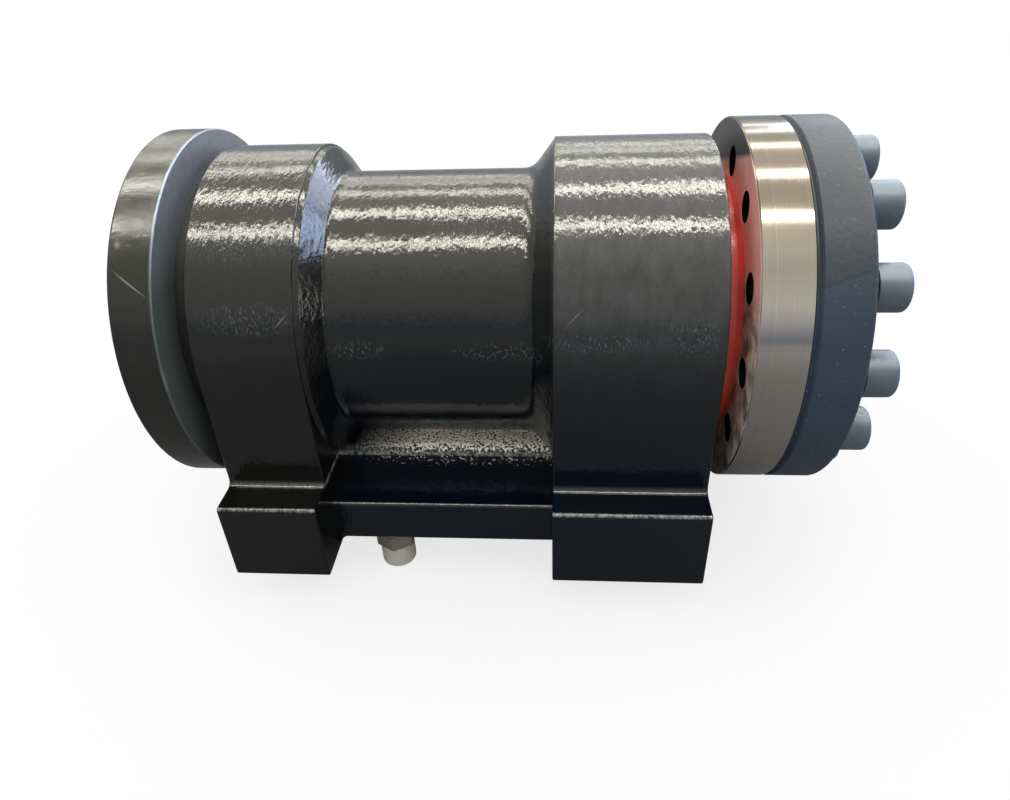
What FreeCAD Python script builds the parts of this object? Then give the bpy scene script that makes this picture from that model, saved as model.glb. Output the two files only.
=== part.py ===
import FreeCAD, Part
import math
import os

# Foot-mounted rotary actuator, sliding-spline type.
# Millimetres. Origin: centre of the foot bolt pattern on the base plane. +Z up.
# The shaft lies along X and its output flange faces +X.

# Feet and shaft height
AXIS_HEIGHT = 150.0
FOOT_PATTERN_X = 250.0
FOOT_PATTERN_Y = 220.0
FOOT_DEPTH = 290.0
FOOT_HEIGHT = 64.0
REAR_FOOT_WIDTH = 70.0
FRONT_FOOT_WIDTH = 106.0
FOOT_HOLE_RADIUS = 12.0
FOOT_HOLE_DEPTH = 44.0
FOOT_EDGE_ROUND = 3.0
LEDGE_FILLET = 5.0

# Housing casting
REAR_RING_RADIUS = 118.0
FRONT_BLOCK_RADIUS = 119.5
TUBE_RADIUS = 98.5
NECK_LENGTH = 15.0
NECK_LAND = 1.5
REAR_NECK_FILLET = 4.0
FRONT_NECK_FILLET = 14.0
PLATE_DEPTH = 236.0
PLATE_THICKNESS = 34.0
PLATE_CLEARANCE = 13.0
SHELF_DEPTH = 160.0
SHELF_RISE = 23.0
SHELF_ROUND = 7.0
WEB_FILLET = 5.0
PLATE_END_FILLET = 12.0

# Bores of the housing
PISTON_BORE_RADIUS = 82.0
SLEEVE_BORE_RADIUS = 76.0
FRONT_BEARING_LENGTH = 50.0
HUB_DEPTH = 30.0

# Discs outside the housing
DISC_RADIUS = 130.0
END_GAP = 14.0
CAP_THICKNESS = 29.0
FLANGE_THICKNESS = 32.0
ADAPTER_THICKNESS = 34.0
CAP_CHAMFER = 2.0
FLANGE_CHAMFER = 1.0
ADAPTER_CHAMFER = 2.0

# Shaft
SHAFT_BORE_RADIUS = 20.0
REAR_JOURNAL_RADIUS = 46.0
CAP_THREAD_RADIUS = 43.0
FRONT_JOURNAL_RADIUS = 70.0
SHOULDER_RADIUS = 60.0
FRONT_STEP_RADIUS = 86.0
PILOT_RADIUS = 60.0
PILOT_HEIGHT = 4.0

# Piston travel and helical teeth
STROKE = 80.0
OUTPUT_RANGE_DEG = 180.0
STOP_CLEARANCE = 9.0
HEAD_LENGTH = 40.0
RING_GEAR_LENGTH = 42.0
GEAR_GAP = 4.0
INNER_TEETH_LENGTH = 45.0
OUTER_TOOTH_COUNT = 16
INNER_TOOTH_COUNT = 12
OUTER_ROOT_RADIUS = 68.0
INNER_ROOT_RADIUS = 48.0
TOOTH_DEPTH = 6.0
TIP_RATIO = 0.17
ROOT_RATIO = 0.29
TOOTH_CLEARANCE = 0.4
FLANK_CLEARANCE = 0.75
RELIEF_DEPTH = 4.0
OVERRUN = 2.0

# Rings, seals and guides
SEAT_CLEARANCE = 0.1
RUNNING_CLEARANCE = 0.1
SEAL_CLEARANCE = 0.15
FACE_CLEARANCE = 0.3
GUIDE_THICKNESS = 3.5
GUIDE_WIDTH = 20.0
REAR_GUIDE_WIDTH = 12.0
SEAL_DEPTH = 7.0
SEAL_WIDTH = 9.0
GROOVE_OFFSET = 4.0
THRUST_THICKNESS = 3.0
DUST_RING_WIDTH = 10.0
REAR_STEP_RADIUS = 92.0
O_RING_RADIUS = 1.6
O_RING_GROOVE_WIDTH = 4.8
EDGE_BREAK = 1.0

# Screws of the adapter disc
SCREW_COUNT = 12
SCREW_EDGE_DISTANCE = 26.0
SCREW_RADIUS = 10.0
SCREW_LENGTH = 60.0
HEAD_RADIUS = 15.0
HEAD_HEIGHT = 20.0
HEAD_ROUND = 2.5
SOCKET_FLATS = 17.0
SOCKET_DEPTH = 10.0
HOLE_CLEARANCE = 1.0
THREAD_CLEARANCE = 0.05
WASHER_RADIUS = 14.2
WASHER_THICKNESS = 5.0
WASHER_SLIT = 1.5
ADAPTER_BORE_RADIUS = 32.0

# Ports, plugs and pins
PORT_EDGE_DISTANCE = 17.0
REAR_PORT_X = -49.0
FRONT_PORT_X = 52.0
PORT_RADIUS = 8.3
PORT_DEPTH = 14.0
FITTING_FLATS = 27.0
FITTING_HEX_HEIGHT = 14.0
FITTING_STEM_CLEARANCE = 1.0
HEX_TRIM_RATIO = 2.0
FITTING_NOSE_RADIUS = 10.0
FITTING_NOSE_LENGTH = 14.0
FITTING_BORE_RADIUS = 4.5
SEALING_WASHER_RADIUS = 13.0
SEALING_WASHER_THICKNESS = 2.0
PORT_CAP_RADIUS = 13.0
PORT_CAP_LENGTH = 18.0
PORT_CAP_ROUND = 1.5
GALLERY_RADIUS = 4.0
DRILL_STEP = 0.4
GALLERY_PLUG_RADIUS = 6.0
GALLERY_PLUG_LENGTH = 7.0
GEAR_PIN_COUNT = 6
GEAR_PIN_RADIUS = 2.0
GEAR_PIN_LENGTH = 16.0
LOCK_SCREW_COUNT = 3
LOCK_SCREW_RADIUS = 4.0
LOCK_SCREW_LENGTH = 16.0
SPANNER_HOLE_COUNT = 4
SPANNER_HOLE_RADIUS = 6.0
SPANNER_HOLE_DEPTH = 12.0
SPANNER_EDGE_DISTANCE = 40.0
SPANNER_PHASE_DEG = 45.0

# Places along the shaft, all from the sizes above
FOOT_ROW_X = FOOT_PATTERN_X / 2
REAR_FACE = -FOOT_ROW_X - REAR_FOOT_WIDTH / 2
REAR_SHOULDER = REAR_FACE + REAR_FOOT_WIDTH
FRONT_SHOULDER = FOOT_ROW_X - FRONT_FOOT_WIDTH / 2
FRONT_FACE = FRONT_SHOULDER + FRONT_FOOT_WIDTH
CAP_INNER_FACE = REAR_FACE - END_GAP
CAP_OUTER_FACE = CAP_INNER_FACE - CAP_THICKNESS
FLANGE_INNER_FACE = FRONT_FACE + END_GAP
FLANGE_OUTER_FACE = FLANGE_INNER_FACE + FLANGE_THICKNESS
ADAPTER_OUTER_FACE = FLANGE_OUTER_FACE + ADAPTER_THICKNESS
HUB_END = REAR_FACE + HUB_DEPTH
FRONT_WALL = FRONT_FACE - FRONT_BEARING_LENGTH
PISTON_REAR = HUB_END + STOP_CLEARANCE + STROKE / 2
PISTON_FRONT = FRONT_WALL - STOP_CLEARANCE - STROKE / 2
HEAD_FRONT = PISTON_REAR + HEAD_LENGTH
SPLINE_REAR = HEAD_FRONT + STROKE / 2 + GEAR_GAP / 2
RING_GEAR_REAR = HEAD_FRONT + STROKE / 2 + GEAR_GAP
RING_GEAR_FRONT = RING_GEAR_REAR + RING_GEAR_LENGTH
SPLINE_FRONT = FRONT_WALL - STOP_CLEARANCE / 2
INNER_TEETH_REAR = PISTON_FRONT - INNER_TEETH_LENGTH
PLATE_TOP = PLATE_CLEARANCE + PLATE_THICKNESS
SHELF_TOP = PLATE_TOP + SHELF_RISE
GALLERY_HEIGHT = PLATE_CLEARANCE + PLATE_THICKNESS / 2
PORT_Y = PLATE_DEPTH / 2 - PORT_EDGE_DISTANCE
REAR_WELL_X = HUB_END + STOP_CLEARANCE / 2
SCREW_CIRCLE_RADIUS = DISC_RADIUS - SCREW_EDGE_DISTANCE
SPANNER_CIRCLE_RADIUS = DISC_RADIUS - SPANNER_EDGE_DISTANCE
FLANGE_STEP_X = FRONT_FACE + FACE_CLEARANCE + THRUST_THICKNESS + SEAT_CLEARANCE

# Each of the two helices makes half of the output turn over the stroke.
LEAD = STROKE * 720.0 / OUTPUT_RANGE_DEG
OUTER_TIP_RADIUS = OUTER_ROOT_RADIUS + TOOTH_DEPTH
INNER_TIP_RADIUS = INNER_ROOT_RADIUS + TOOTH_DEPTH

AXIS = FreeCAD.Vector(1, 0, 0)
UP = FreeCAD.Vector(0, 0, 1)


def vector(x, y, z):
    return FreeCAD.Vector(x, y, z)


def rod(x, length, radius):
    """Cylinder on the shaft axis from x towards the output end."""
    return Part.makeCylinder(radius, length, vector(x, 0, AXIS_HEIGHT), AXIS)


def ring(x, length, inner, outer):
    """Flat-ended ring on the shaft axis."""
    return rod(x, length, outer).cut(rod(x, length, inner))


def turned(profile):
    """Solid of revolution about the shaft axis from corners (x, radius)."""
    points = [vector(x, 0, AXIS_HEIGHT + radius) for x, radius in profile]
    face = Part.Face(Part.makePolygon(points + points[:1]))
    return face.revolve(vector(0, 0, AXIS_HEIGHT), AXIS, 360)


def rounded_wire(corners):
    """Closed wire through 3-D corners (point, radius), each corner rounded by a tangent arc."""
    edges = []
    starts = []
    ends = []
    count = len(corners)
    for index in range(count):
        point, radius = corners[index]
        before = (corners[index - 1][0] - point).normalize()
        after = (corners[(index + 1) % count][0] - point).normalize()
        half = before.getAngle(after) / 2
        if radius <= 0:
            starts.append(point)
            ends.append(point)
            continue
        reach = radius / math.tan(half)
        middle_way = (before + after).normalize()
        centre = point + middle_way * (radius / math.sin(half))
        first = point + before * reach
        last = point + after * reach
        middle = centre - middle_way * radius
        starts.append(first)
        ends.append(last)
        edges.append(Part.Arc(first, middle, last).toShape())
    for index in range(count):
        following = starts[(index + 1) % count]
        if (following - ends[index]).Length > 1e-6:
            edges.append(Part.LineSegment(ends[index], following).toShape())
    return Part.Wire(Part.__sortEdges__(edges))


def along_x(section, x, length):
    """Extrude a rounded section of (y, z, radius) corners along X."""
    corners = [(vector(x, y, z), radius) for y, z, radius in section]
    return Part.Face(rounded_wire(corners)).extrude(vector(length, 0, 0))


def turned_round(profile):
    """Solid of revolution from corners (x, radius, corner rounding)."""
    corners = [(vector(x, 0, AXIS_HEIGHT + radius), rounding) for x, radius, rounding in profile]
    face = Part.Face(rounded_wire(corners))
    return face.revolve(vector(0, 0, AXIS_HEIGHT), AXIS, 360)


def on_circle(count, radius, phase=0.0):
    """Centres (y, z) of equally spaced places round the shaft."""
    places = []
    for index in range(count):
        angle = math.radians(phase + 360.0 * index / count)
        places.append((radius * math.cos(angle), AXIS_HEIGHT + radius * math.sin(angle)))
    return places


def pins_along_x(x, length, radius, places):
    """Cylinders along X at the given (y, z) centres."""
    return [Part.makeCylinder(radius, length, vector(x, y, z), AXIS) for y, z in places]


def hexagon(centre, flats, height, direction):
    """Hexagonal prism of the given width across flats."""
    side = direction.cross(vector(0, 1, 0) if abs(direction.y) < 0.5 else UP).normalize()
    other = direction.cross(side)
    corner = flats / 2 / math.cos(math.radians(30))
    points = []
    for index in range(6):
        angle = math.radians(60 * index)
        points.append(centre + side * (corner * math.cos(angle)) + other * (corner * math.sin(angle)))
    return Part.Face(Part.makePolygon(points + points[:1])).extrude(direction * height)


def tooth_wire(count, root, tip, root_half, tip_half):
    """Closed outline of straight-sided teeth round the Z axis."""
    def place(radius, angle):
        return vector(radius * math.cos(angle), radius * math.sin(angle), 0)

    edges = []
    pitch = 2 * math.pi / count
    for index in range(count):
        angle = index * pitch
        foot_in = place(root, angle - root_half)
        top_in = place(tip, angle - tip_half)
        top = place(tip, angle)
        top_out = place(tip, angle + tip_half)
        foot_out = place(root, angle + root_half)
        valley = place(root, angle + pitch / 2)
        following = place(root, angle + pitch - root_half)
        edges.append(Part.LineSegment(foot_in, top_in).toShape())
        edges.append(Part.Arc(top_in, top, top_out).toShape())
        edges.append(Part.LineSegment(top_out, foot_out).toShape())
        edges.append(Part.Arc(foot_out, valley, following).toShape())
    return Part.Wire(edges)


def teeth(count, root, clearance, flank_clearance):
    """Outline of the solid teeth, or of their mating space when clearances are given."""
    pitch = 2 * math.pi / count
    tip = root + TOOTH_DEPTH
    growth = flank_clearance / (root + TOOTH_DEPTH / 2)
    low = root + clearance
    high = tip + clearance
    return tooth_wire(count, low, high, ROOT_RATIO * pitch + growth, TIP_RATIO * pitch + growth)


def helical_solid(wire, length, hand):
    """Solid along Z whose outline turns with the lead of the spline."""
    spine = Part.makeHelix(LEAD, length, 1.0, 0, hand < 0)
    maker = Part.BRepOffsetAPI.MakePipeShell(Part.Wire(spine.Edges))
    maker.setFrenetMode(True)
    maker.add(wire, False, False)
    maker.build()
    maker.makeSolid()
    return maker.shape()


def phase_at(x, hand):
    """Angle of a tooth centre at x, so that teeth of the same helix line up anywhere."""
    return hand * 360.0 * x / LEAD


def helical_on_axis(wire, x, length, hand):
    """Helical solid along the shaft from x. Its teeth stand where any other of the same hand has them."""
    solid = helical_solid(wire, length, hand)
    solid.rotate(vector(0, 0, 0), UP, phase_at(x, hand))
    solid.rotate(vector(0, 0, 0), vector(0, 1, 0), 90)
    solid.translate(vector(x, 0, AXIS_HEIGHT))
    return solid


def foot_section(radius):
    """Section of one end of the casting: round top, straight sides and stepped foot."""
    half = FOOT_DEPTH / 2
    top = AXIS_HEIGHT + radius
    side = [
        (-half, 0, FOOT_EDGE_ROUND),
        (-half, FOOT_HEIGHT, FOOT_EDGE_ROUND),
        (-radius, FOOT_HEIGHT, LEDGE_FILLET),
        (-radius, top, radius),
    ]
    return side + [(-y, z, rounding) for y, z, rounding in reversed(side)]


def web_section():
    """Section of the base plate between the feet with the raised shelf under the tube."""
    side = [
        (-PLATE_DEPTH / 2, PLATE_CLEARANCE, FOOT_EDGE_ROUND),
        (-PLATE_DEPTH / 2, PLATE_TOP, FOOT_EDGE_ROUND),
        (-SHELF_DEPTH / 2, PLATE_TOP, WEB_FILLET),
        (-SHELF_DEPTH / 2, SHELF_TOP, SHELF_ROUND),
    ]
    return side + [(-y, z, rounding) for y, z, rounding in reversed(side)]


def barrel():
    """Tube between the two ends, with a conical neck at each."""
    rear_top = REAR_RING_RADIUS - NECK_LAND
    front_top = FRONT_BLOCK_RADIUS - NECK_LAND
    inner = SLEEVE_BORE_RADIUS / 2
    return turned_round([
        (REAR_SHOULDER - NECK_LAND, inner, 0),
        (REAR_SHOULDER - NECK_LAND, rear_top, 0),
        (REAR_SHOULDER, rear_top, 0),
        (REAR_SHOULDER + NECK_LENGTH, TUBE_RADIUS, REAR_NECK_FILLET),
        (FRONT_SHOULDER - NECK_LENGTH, TUBE_RADIUS, FRONT_NECK_FILLET),
        (FRONT_SHOULDER, front_top, 0),
        (FRONT_SHOULDER + NECK_LAND, front_top, 0),
        (FRONT_SHOULDER + NECK_LAND, inner, 0),
    ])


def plate_end_fillet():
    """Cast fillet where the underside of the plate runs into the rear foot."""
    radius = PLATE_END_FILLET
    x = REAR_SHOULDER
    z = PLATE_CLEARANCE
    y = -PLATE_DEPTH / 2 + FOOT_EDGE_ROUND
    slope = math.radians(45)
    arc = Part.Arc(
        vector(x, y, z - radius),
        vector(x + radius - radius * math.cos(slope), y, z - radius + radius * math.sin(slope)),
        vector(x + radius, y, z),
    ).toShape()
    into = FOOT_EDGE_ROUND
    corners = [vector(x + radius, y, z), vector(x + radius, y, z + into), vector(x - into, y, z + into),
               vector(x - into, y, z - radius), vector(x, y, z - radius)]
    sides = Part.makePolygon(corners).Edges
    wire = Part.Wire(Part.__sortEdges__([arc] + sides))
    return Part.Face(wire).extrude(vector(0, -2 * y, 0))


def foot_holes():
    """Tapped holes in the underside of the feet."""
    holes = []
    for x in (-FOOT_ROW_X, FOOT_ROW_X):
        for y in (-FOOT_PATTERN_Y / 2, FOOT_PATTERN_Y / 2):
            holes.append(Part.makeCylinder(FOOT_HOLE_RADIUS, FOOT_HOLE_DEPTH, vector(x, y, 0), UP))
    return holes


def port_places():
    """Centres of the two ports, one by each long edge of the plate."""
    return ((REAR_PORT_X, -PORT_Y), (FRONT_PORT_X, PORT_Y))


def oilways():
    """Drillings from the two ports to the two ends of the piston bore."""
    back = PLATE_DEPTH / 2
    plug = GALLERY_PLUG_RADIUS + THREAD_CLEARANCE
    lengthwise = GALLERY_RADIUS - DRILL_STEP
    upright = lengthwise - DRILL_STEP
    rise = AXIS_HEIGHT - SLEEVE_BORE_RADIUS
    inward = vector(0, -1, 0)
    cuts = []
    for x, y in port_places():
        cuts.append(Part.makeCylinder(PORT_RADIUS + THREAD_CLEARANCE, PORT_DEPTH,
                                      vector(x, y, PLATE_CLEARANCE), UP))
        cuts.append(Part.makeCylinder(upright, GALLERY_HEIGHT - PLATE_CLEARANCE,
                                      vector(x, y, PLATE_CLEARANCE), UP))
        reach = back - min(y, 0)
        cuts.append(Part.makeCylinder(GALLERY_RADIUS, reach, vector(x, back, GALLERY_HEIGHT), inward))
        cuts.append(Part.makeCylinder(plug, GALLERY_PLUG_LENGTH, vector(x, back, GALLERY_HEIGHT), inward))
    cuts.append(Part.makeCylinder(lengthwise, REAR_PORT_X - REAR_FACE,
                                  vector(REAR_FACE, 0, GALLERY_HEIGHT), AXIS))
    cuts.append(Part.makeCylinder(plug, GALLERY_PLUG_LENGTH, vector(REAR_FACE, 0, GALLERY_HEIGHT), AXIS))
    for x, low in ((REAR_WELL_X, 0), (FRONT_PORT_X, PLATE_CLEARANCE)):
        cuts.append(Part.makeCylinder(upright, rise - low, vector(x, 0, low), UP))
        cuts.append(Part.makeCylinder(plug, GALLERY_PLUG_LENGTH, vector(x, 0, low), UP))
    return cuts


def gallery_plugs():
    """Plugs that close the drilled ends of the oilways."""
    back = PLATE_DEPTH / 2
    inward = vector(0, -1, 0)
    seats = [
        (vector(REAR_PORT_X, back, GALLERY_HEIGHT), inward),
        (vector(FRONT_PORT_X, back, GALLERY_HEIGHT), inward),
        (vector(REAR_FACE, 0, GALLERY_HEIGHT), AXIS),
        (vector(REAR_WELL_X, 0, 0), UP),
        (vector(FRONT_PORT_X, 0, PLATE_CLEARANCE), UP),
    ]
    plugs = []
    for mouth, way in seats:
        body = Part.makeCylinder(GALLERY_PLUG_RADIUS, GALLERY_PLUG_LENGTH, mouth, way)
        key = hexagon(mouth, GALLERY_PLUG_RADIUS, GALLERY_PLUG_LENGTH / 2, way)
        plugs.append(body.cut(key))
    return plugs


def front_guide_groove():
    return FRONT_WALL + GROOVE_OFFSET


def front_seal_groove():
    return front_guide_groove() + GUIDE_WIDTH + GROOVE_OFFSET


def gear_pin_places():
    """Pins stand in the shoulder between the two bores."""
    middle = (OUTER_TIP_RADIUS + PISTON_BORE_RADIUS + GEAR_PIN_RADIUS) / 2
    return on_circle(GEAR_PIN_COUNT, middle, 180.0 / OUTER_TOOTH_COUNT)


def housing():
    """The casting, bored from both ends."""
    body = along_x(foot_section(REAR_RING_RADIUS), REAR_FACE, REAR_FOOT_WIDTH)
    front = along_x(foot_section(FRONT_BLOCK_RADIUS), FRONT_SHOULDER, FRONT_FOOT_WIDTH)
    web = along_x(web_section(), REAR_SHOULDER - NECK_LAND, FRONT_SHOULDER - REAR_SHOULDER + 2 * NECK_LAND)
    body = body.multiFuse([front, web, barrel(), plate_end_fillet()]).removeSplitter()
    groove = GUIDE_THICKNESS + SEAT_CLEARANCE
    bore = FRONT_JOURNAL_RADIUS + RUNNING_CLEARANCE
    cuts = [
        rod(REAR_FACE, RING_GEAR_FRONT - REAR_FACE, PISTON_BORE_RADIUS),
        rod(REAR_FACE, FRONT_WALL - REAR_FACE, SLEEVE_BORE_RADIUS),
        rod(REAR_FACE, FRONT_FACE - REAR_FACE, bore + FACE_CLEARANCE),
        rod(front_guide_groove(), GUIDE_WIDTH, bore + groove),
        rod(front_seal_groove(), SEAL_WIDTH, bore + SEAL_DEPTH),
    ]
    pins = pins_along_x(RING_GEAR_FRONT, GEAR_PIN_LENGTH / 2, GEAR_PIN_RADIUS + THREAD_CLEARANCE,
                        gear_pin_places())
    return body.cut(cuts + pins + foot_holes() + oilways())


def ring_gear():
    """Internal helical teeth, right-handed, held against the bore shoulder."""
    space = teeth(OUTER_TOOTH_COUNT, OUTER_ROOT_RADIUS, TOOTH_CLEARANCE, FLANK_CLEARANCE)
    blank = rod(RING_GEAR_REAR, RING_GEAR_LENGTH, PISTON_BORE_RADIUS - SEAT_CLEARANCE)
    broach = helical_on_axis(space, RING_GEAR_REAR - OVERRUN, RING_GEAR_LENGTH + 2 * OVERRUN, 1)
    half = GEAR_PIN_LENGTH / 2
    holes = pins_along_x(RING_GEAR_FRONT - half, half, GEAR_PIN_RADIUS + THREAD_CLEARANCE,
                         gear_pin_places())
    return blank.cut([broach] + holes)


def ring_gear_pins():
    start = RING_GEAR_FRONT - GEAR_PIN_LENGTH / 2
    return pins_along_x(start, GEAR_PIN_LENGTH, GEAR_PIN_RADIUS, gear_pin_places())


def output_shaft():
    """Shaft, helical teeth and output flange in one forging, left-handed teeth."""
    thread_end = CAP_OUTER_FACE + CAP_CHAMFER
    thread_start = HUB_END - HUB_DEPTH / 2
    pilot = FLANGE_OUTER_FACE + PILOT_HEIGHT
    core = turned([
        (thread_end, 0), (thread_end, CAP_THREAD_RADIUS - EDGE_BREAK),
        (thread_end + EDGE_BREAK, CAP_THREAD_RADIUS), (thread_start, CAP_THREAD_RADIUS),
        (thread_start, REAR_JOURNAL_RADIUS), (SPLINE_FRONT, REAR_JOURNAL_RADIUS),
        (SPLINE_FRONT, SHOULDER_RADIUS), (FRONT_WALL, SHOULDER_RADIUS),
        (FRONT_WALL + EDGE_BREAK, FRONT_JOURNAL_RADIUS), (FLANGE_STEP_X, FRONT_JOURNAL_RADIUS),
        (FLANGE_STEP_X, FRONT_STEP_RADIUS), (FLANGE_INNER_FACE, FRONT_STEP_RADIUS),
        (FLANGE_INNER_FACE, DISC_RADIUS - FLANGE_CHAMFER), (FLANGE_INNER_FACE + FLANGE_CHAMFER, DISC_RADIUS),
        (FLANGE_OUTER_FACE - FLANGE_CHAMFER, DISC_RADIUS),
        (FLANGE_OUTER_FACE, DISC_RADIUS - FLANGE_CHAMFER), (FLANGE_OUTER_FACE, PILOT_RADIUS),
        (pilot, PILOT_RADIUS), (pilot, 0),
    ])
    outline = teeth(INNER_TOOTH_COUNT, INNER_ROOT_RADIUS, 0, 0)
    spline = helical_on_axis(outline, SPLINE_REAR, SPLINE_FRONT + OVERRUN - SPLINE_REAR, -1)
    shaft = core.fuse(spline)
    bore = rod(CAP_OUTER_FACE, pilot + OVERRUN - CAP_OUTER_FACE, SHAFT_BORE_RADIUS)
    holes = pins_along_x(FLANGE_STEP_X, FLANGE_OUTER_FACE - FLANGE_STEP_X, SCREW_RADIUS + THREAD_CLEARANCE,
                         on_circle(SCREW_COUNT, SCREW_CIRCLE_RADIUS))
    return shaft.cut([bore] + holes + lock_screw_bodies(THREAD_CLEARANCE))


def head_groove_places():
    """Rear ends of the guide, seal and guide grooves on the piston head."""
    guide = GUIDE_WIDTH / 2
    first = PISTON_REAR + GROOVE_OFFSET
    seal = PISTON_REAR + HEAD_LENGTH / 2 - SEAL_WIDTH / 2
    last = HEAD_FRONT - GROOVE_OFFSET - guide
    return first, seal, last, guide


def piston_sleeve():
    """Piston head and the sleeve with right-handed outer and left-handed inner teeth."""
    outer = teeth(OUTER_TOOTH_COUNT, OUTER_ROOT_RADIUS, 0, 0)
    inner = teeth(INNER_TOOTH_COUNT, INNER_ROOT_RADIUS, TOOTH_CLEARANCE, FLANK_CLEARANCE)
    head = rod(PISTON_REAR, HEAD_LENGTH, PISTON_BORE_RADIUS - 2 * SEAL_CLEARANCE)
    sleeve = helical_on_axis(outer, HEAD_FRONT - OVERRUN, PISTON_FRONT - HEAD_FRONT + OVERRUN, 1)
    broach = helical_on_axis(inner, INNER_TEETH_REAR - OVERRUN, INNER_TEETH_LENGTH + 2 * OVERRUN, -1)
    first, seal, last, guide = head_groove_places()
    floor = PISTON_BORE_RADIUS - GUIDE_THICKNESS - SEAL_CLEARANCE
    cuts = [
        rod(PISTON_REAR, HEAD_LENGTH + OVERRUN, REAR_JOURNAL_RADIUS + SEAL_CLEARANCE),
        rod(HEAD_FRONT, INNER_TEETH_REAR - HEAD_FRONT, INNER_TIP_RADIUS + RELIEF_DEPTH),
        ring(first, guide, floor, PISTON_BORE_RADIUS),
        ring(last, guide, floor, PISTON_BORE_RADIUS),
        ring(seal, SEAL_WIDTH, PISTON_BORE_RADIUS - SEAL_DEPTH, PISTON_BORE_RADIUS),
        rod(seal, SEAL_WIDTH, REAR_JOURNAL_RADIUS + SEAL_DEPTH),
    ]
    return head.fuse(sleeve).cut(cuts).cut(broach)


def piston_guide_rings():
    first, seal, last, guide = head_groove_places()
    outer = PISTON_BORE_RADIUS - SEAL_CLEARANCE
    inner = PISTON_BORE_RADIUS - GUIDE_THICKNESS
    gap = SEAL_CLEARANCE
    return [ring(x + gap, guide - 2 * gap, inner, outer) for x in (first, last)]


def piston_outer_seal():
    seal = head_groove_places()[1]
    inner = PISTON_BORE_RADIUS - SEAL_DEPTH + SEAL_CLEARANCE
    outer = PISTON_BORE_RADIUS - SEAL_CLEARANCE
    gap = SEAL_CLEARANCE
    lip = (outer - inner) / 3
    end = seal + SEAL_WIDTH - gap
    return turned([
        (seal + gap, inner), (seal + gap + lip / 2, outer), (seal + gap + lip, outer),
        (end - lip, outer - lip / 2), (end, outer - lip / 2), (end, inner),
    ])


def piston_inner_seal():
    seal = head_groove_places()[1]
    inner = REAR_JOURNAL_RADIUS + SEAL_CLEARANCE
    outer = REAR_JOURNAL_RADIUS + SEAL_DEPTH - SEAL_CLEARANCE
    gap = SEAL_CLEARANCE
    lip = (outer - inner) / 3
    end = seal + SEAL_WIDTH - gap
    return turned([
        (seal + gap, outer), (seal + gap, inner + lip / 2), (seal + gap + lip, inner),
        (end - lip, inner), (end, inner + lip / 2), (end, outer),
    ])


def front_guide():
    inner = FRONT_JOURNAL_RADIUS + RUNNING_CLEARANCE
    return ring(front_guide_groove() + SEAT_CLEARANCE, GUIDE_WIDTH - 2 * SEAT_CLEARANCE,
                inner, inner + GUIDE_THICKNESS)


def front_shaft_seal():
    start = front_seal_groove() + SEAT_CLEARANCE
    end = front_seal_groove() + SEAL_WIDTH - SEAT_CLEARANCE
    inner = FRONT_JOURNAL_RADIUS + RUNNING_CLEARANCE
    outer = inner + SEAL_DEPTH - SEAT_CLEARANCE
    lip = (outer - inner) / 3
    return turned([
        (start, outer), (start, inner + lip / 2), (start + lip, inner),
        (end - lip, inner), (end, inner + lip / 2), (end, outer),
    ])


def rear_guide_groove():
    return REAR_FACE + GROOVE_OFFSET


def rear_seal_groove():
    return rear_guide_groove() + REAR_GUIDE_WIDTH + GROOVE_OFFSET / 2


def end_cap():
    """Disc, thrust step and hub, screwed on the rear end of the shaft."""
    step = REAR_FACE - FACE_CLEARANCE - THRUST_THICKNESS - SEAT_CLEARANCE
    hub = PISTON_BORE_RADIUS - 2 * SEAL_CLEARANCE
    thread = CAP_THREAD_RADIUS + THREAD_CLEARANCE
    journal = REAR_JOURNAL_RADIUS + THREAD_CLEARANCE
    thread_start = HUB_END - HUB_DEPTH / 2 - FACE_CLEARANCE
    body = turned([
        (CAP_OUTER_FACE, thread), (CAP_OUTER_FACE, DISC_RADIUS - CAP_CHAMFER),
        (CAP_OUTER_FACE + CAP_CHAMFER, DISC_RADIUS), (CAP_INNER_FACE - CAP_CHAMFER, DISC_RADIUS),
        (CAP_INNER_FACE, DISC_RADIUS - CAP_CHAMFER), (CAP_INNER_FACE, REAR_STEP_RADIUS),
        (step, REAR_STEP_RADIUS), (step, hub), (HUB_END, hub), (HUB_END, journal),
        (thread_start, journal), (thread_start, thread),
    ])
    cuts = [
        ring(rear_guide_groove(), REAR_GUIDE_WIDTH, PISTON_BORE_RADIUS - GUIDE_THICKNESS - SEAT_CLEARANCE,
             PISTON_BORE_RADIUS),
        ring(rear_seal_groove(), SEAL_WIDTH, PISTON_BORE_RADIUS - SEAL_DEPTH, PISTON_BORE_RADIUS),
        rod(o_ring_groove(), O_RING_GROOVE_WIDTH, REAR_JOURNAL_RADIUS + 2 * O_RING_RADIUS + SEAT_CLEARANCE),
    ]
    cuts += pins_along_x(CAP_OUTER_FACE, SPANNER_HOLE_DEPTH, SPANNER_HOLE_RADIUS,
                         on_circle(SPANNER_HOLE_COUNT, SPANNER_CIRCLE_RADIUS, SPANNER_PHASE_DEG))
    return body.cut(cuts + lock_screw_bodies(THREAD_CLEARANCE))


def o_ring_groove():
    return HUB_END - GROOVE_OFFSET - O_RING_GROOVE_WIDTH


def cap_o_ring():
    middle = o_ring_groove() + O_RING_GROOVE_WIDTH / 2
    centre = vector(middle, 0, AXIS_HEIGHT)
    return Part.makeTorus(REAR_JOURNAL_RADIUS + THREAD_CLEARANCE + O_RING_RADIUS, O_RING_RADIUS, centre, AXIS)


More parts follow.
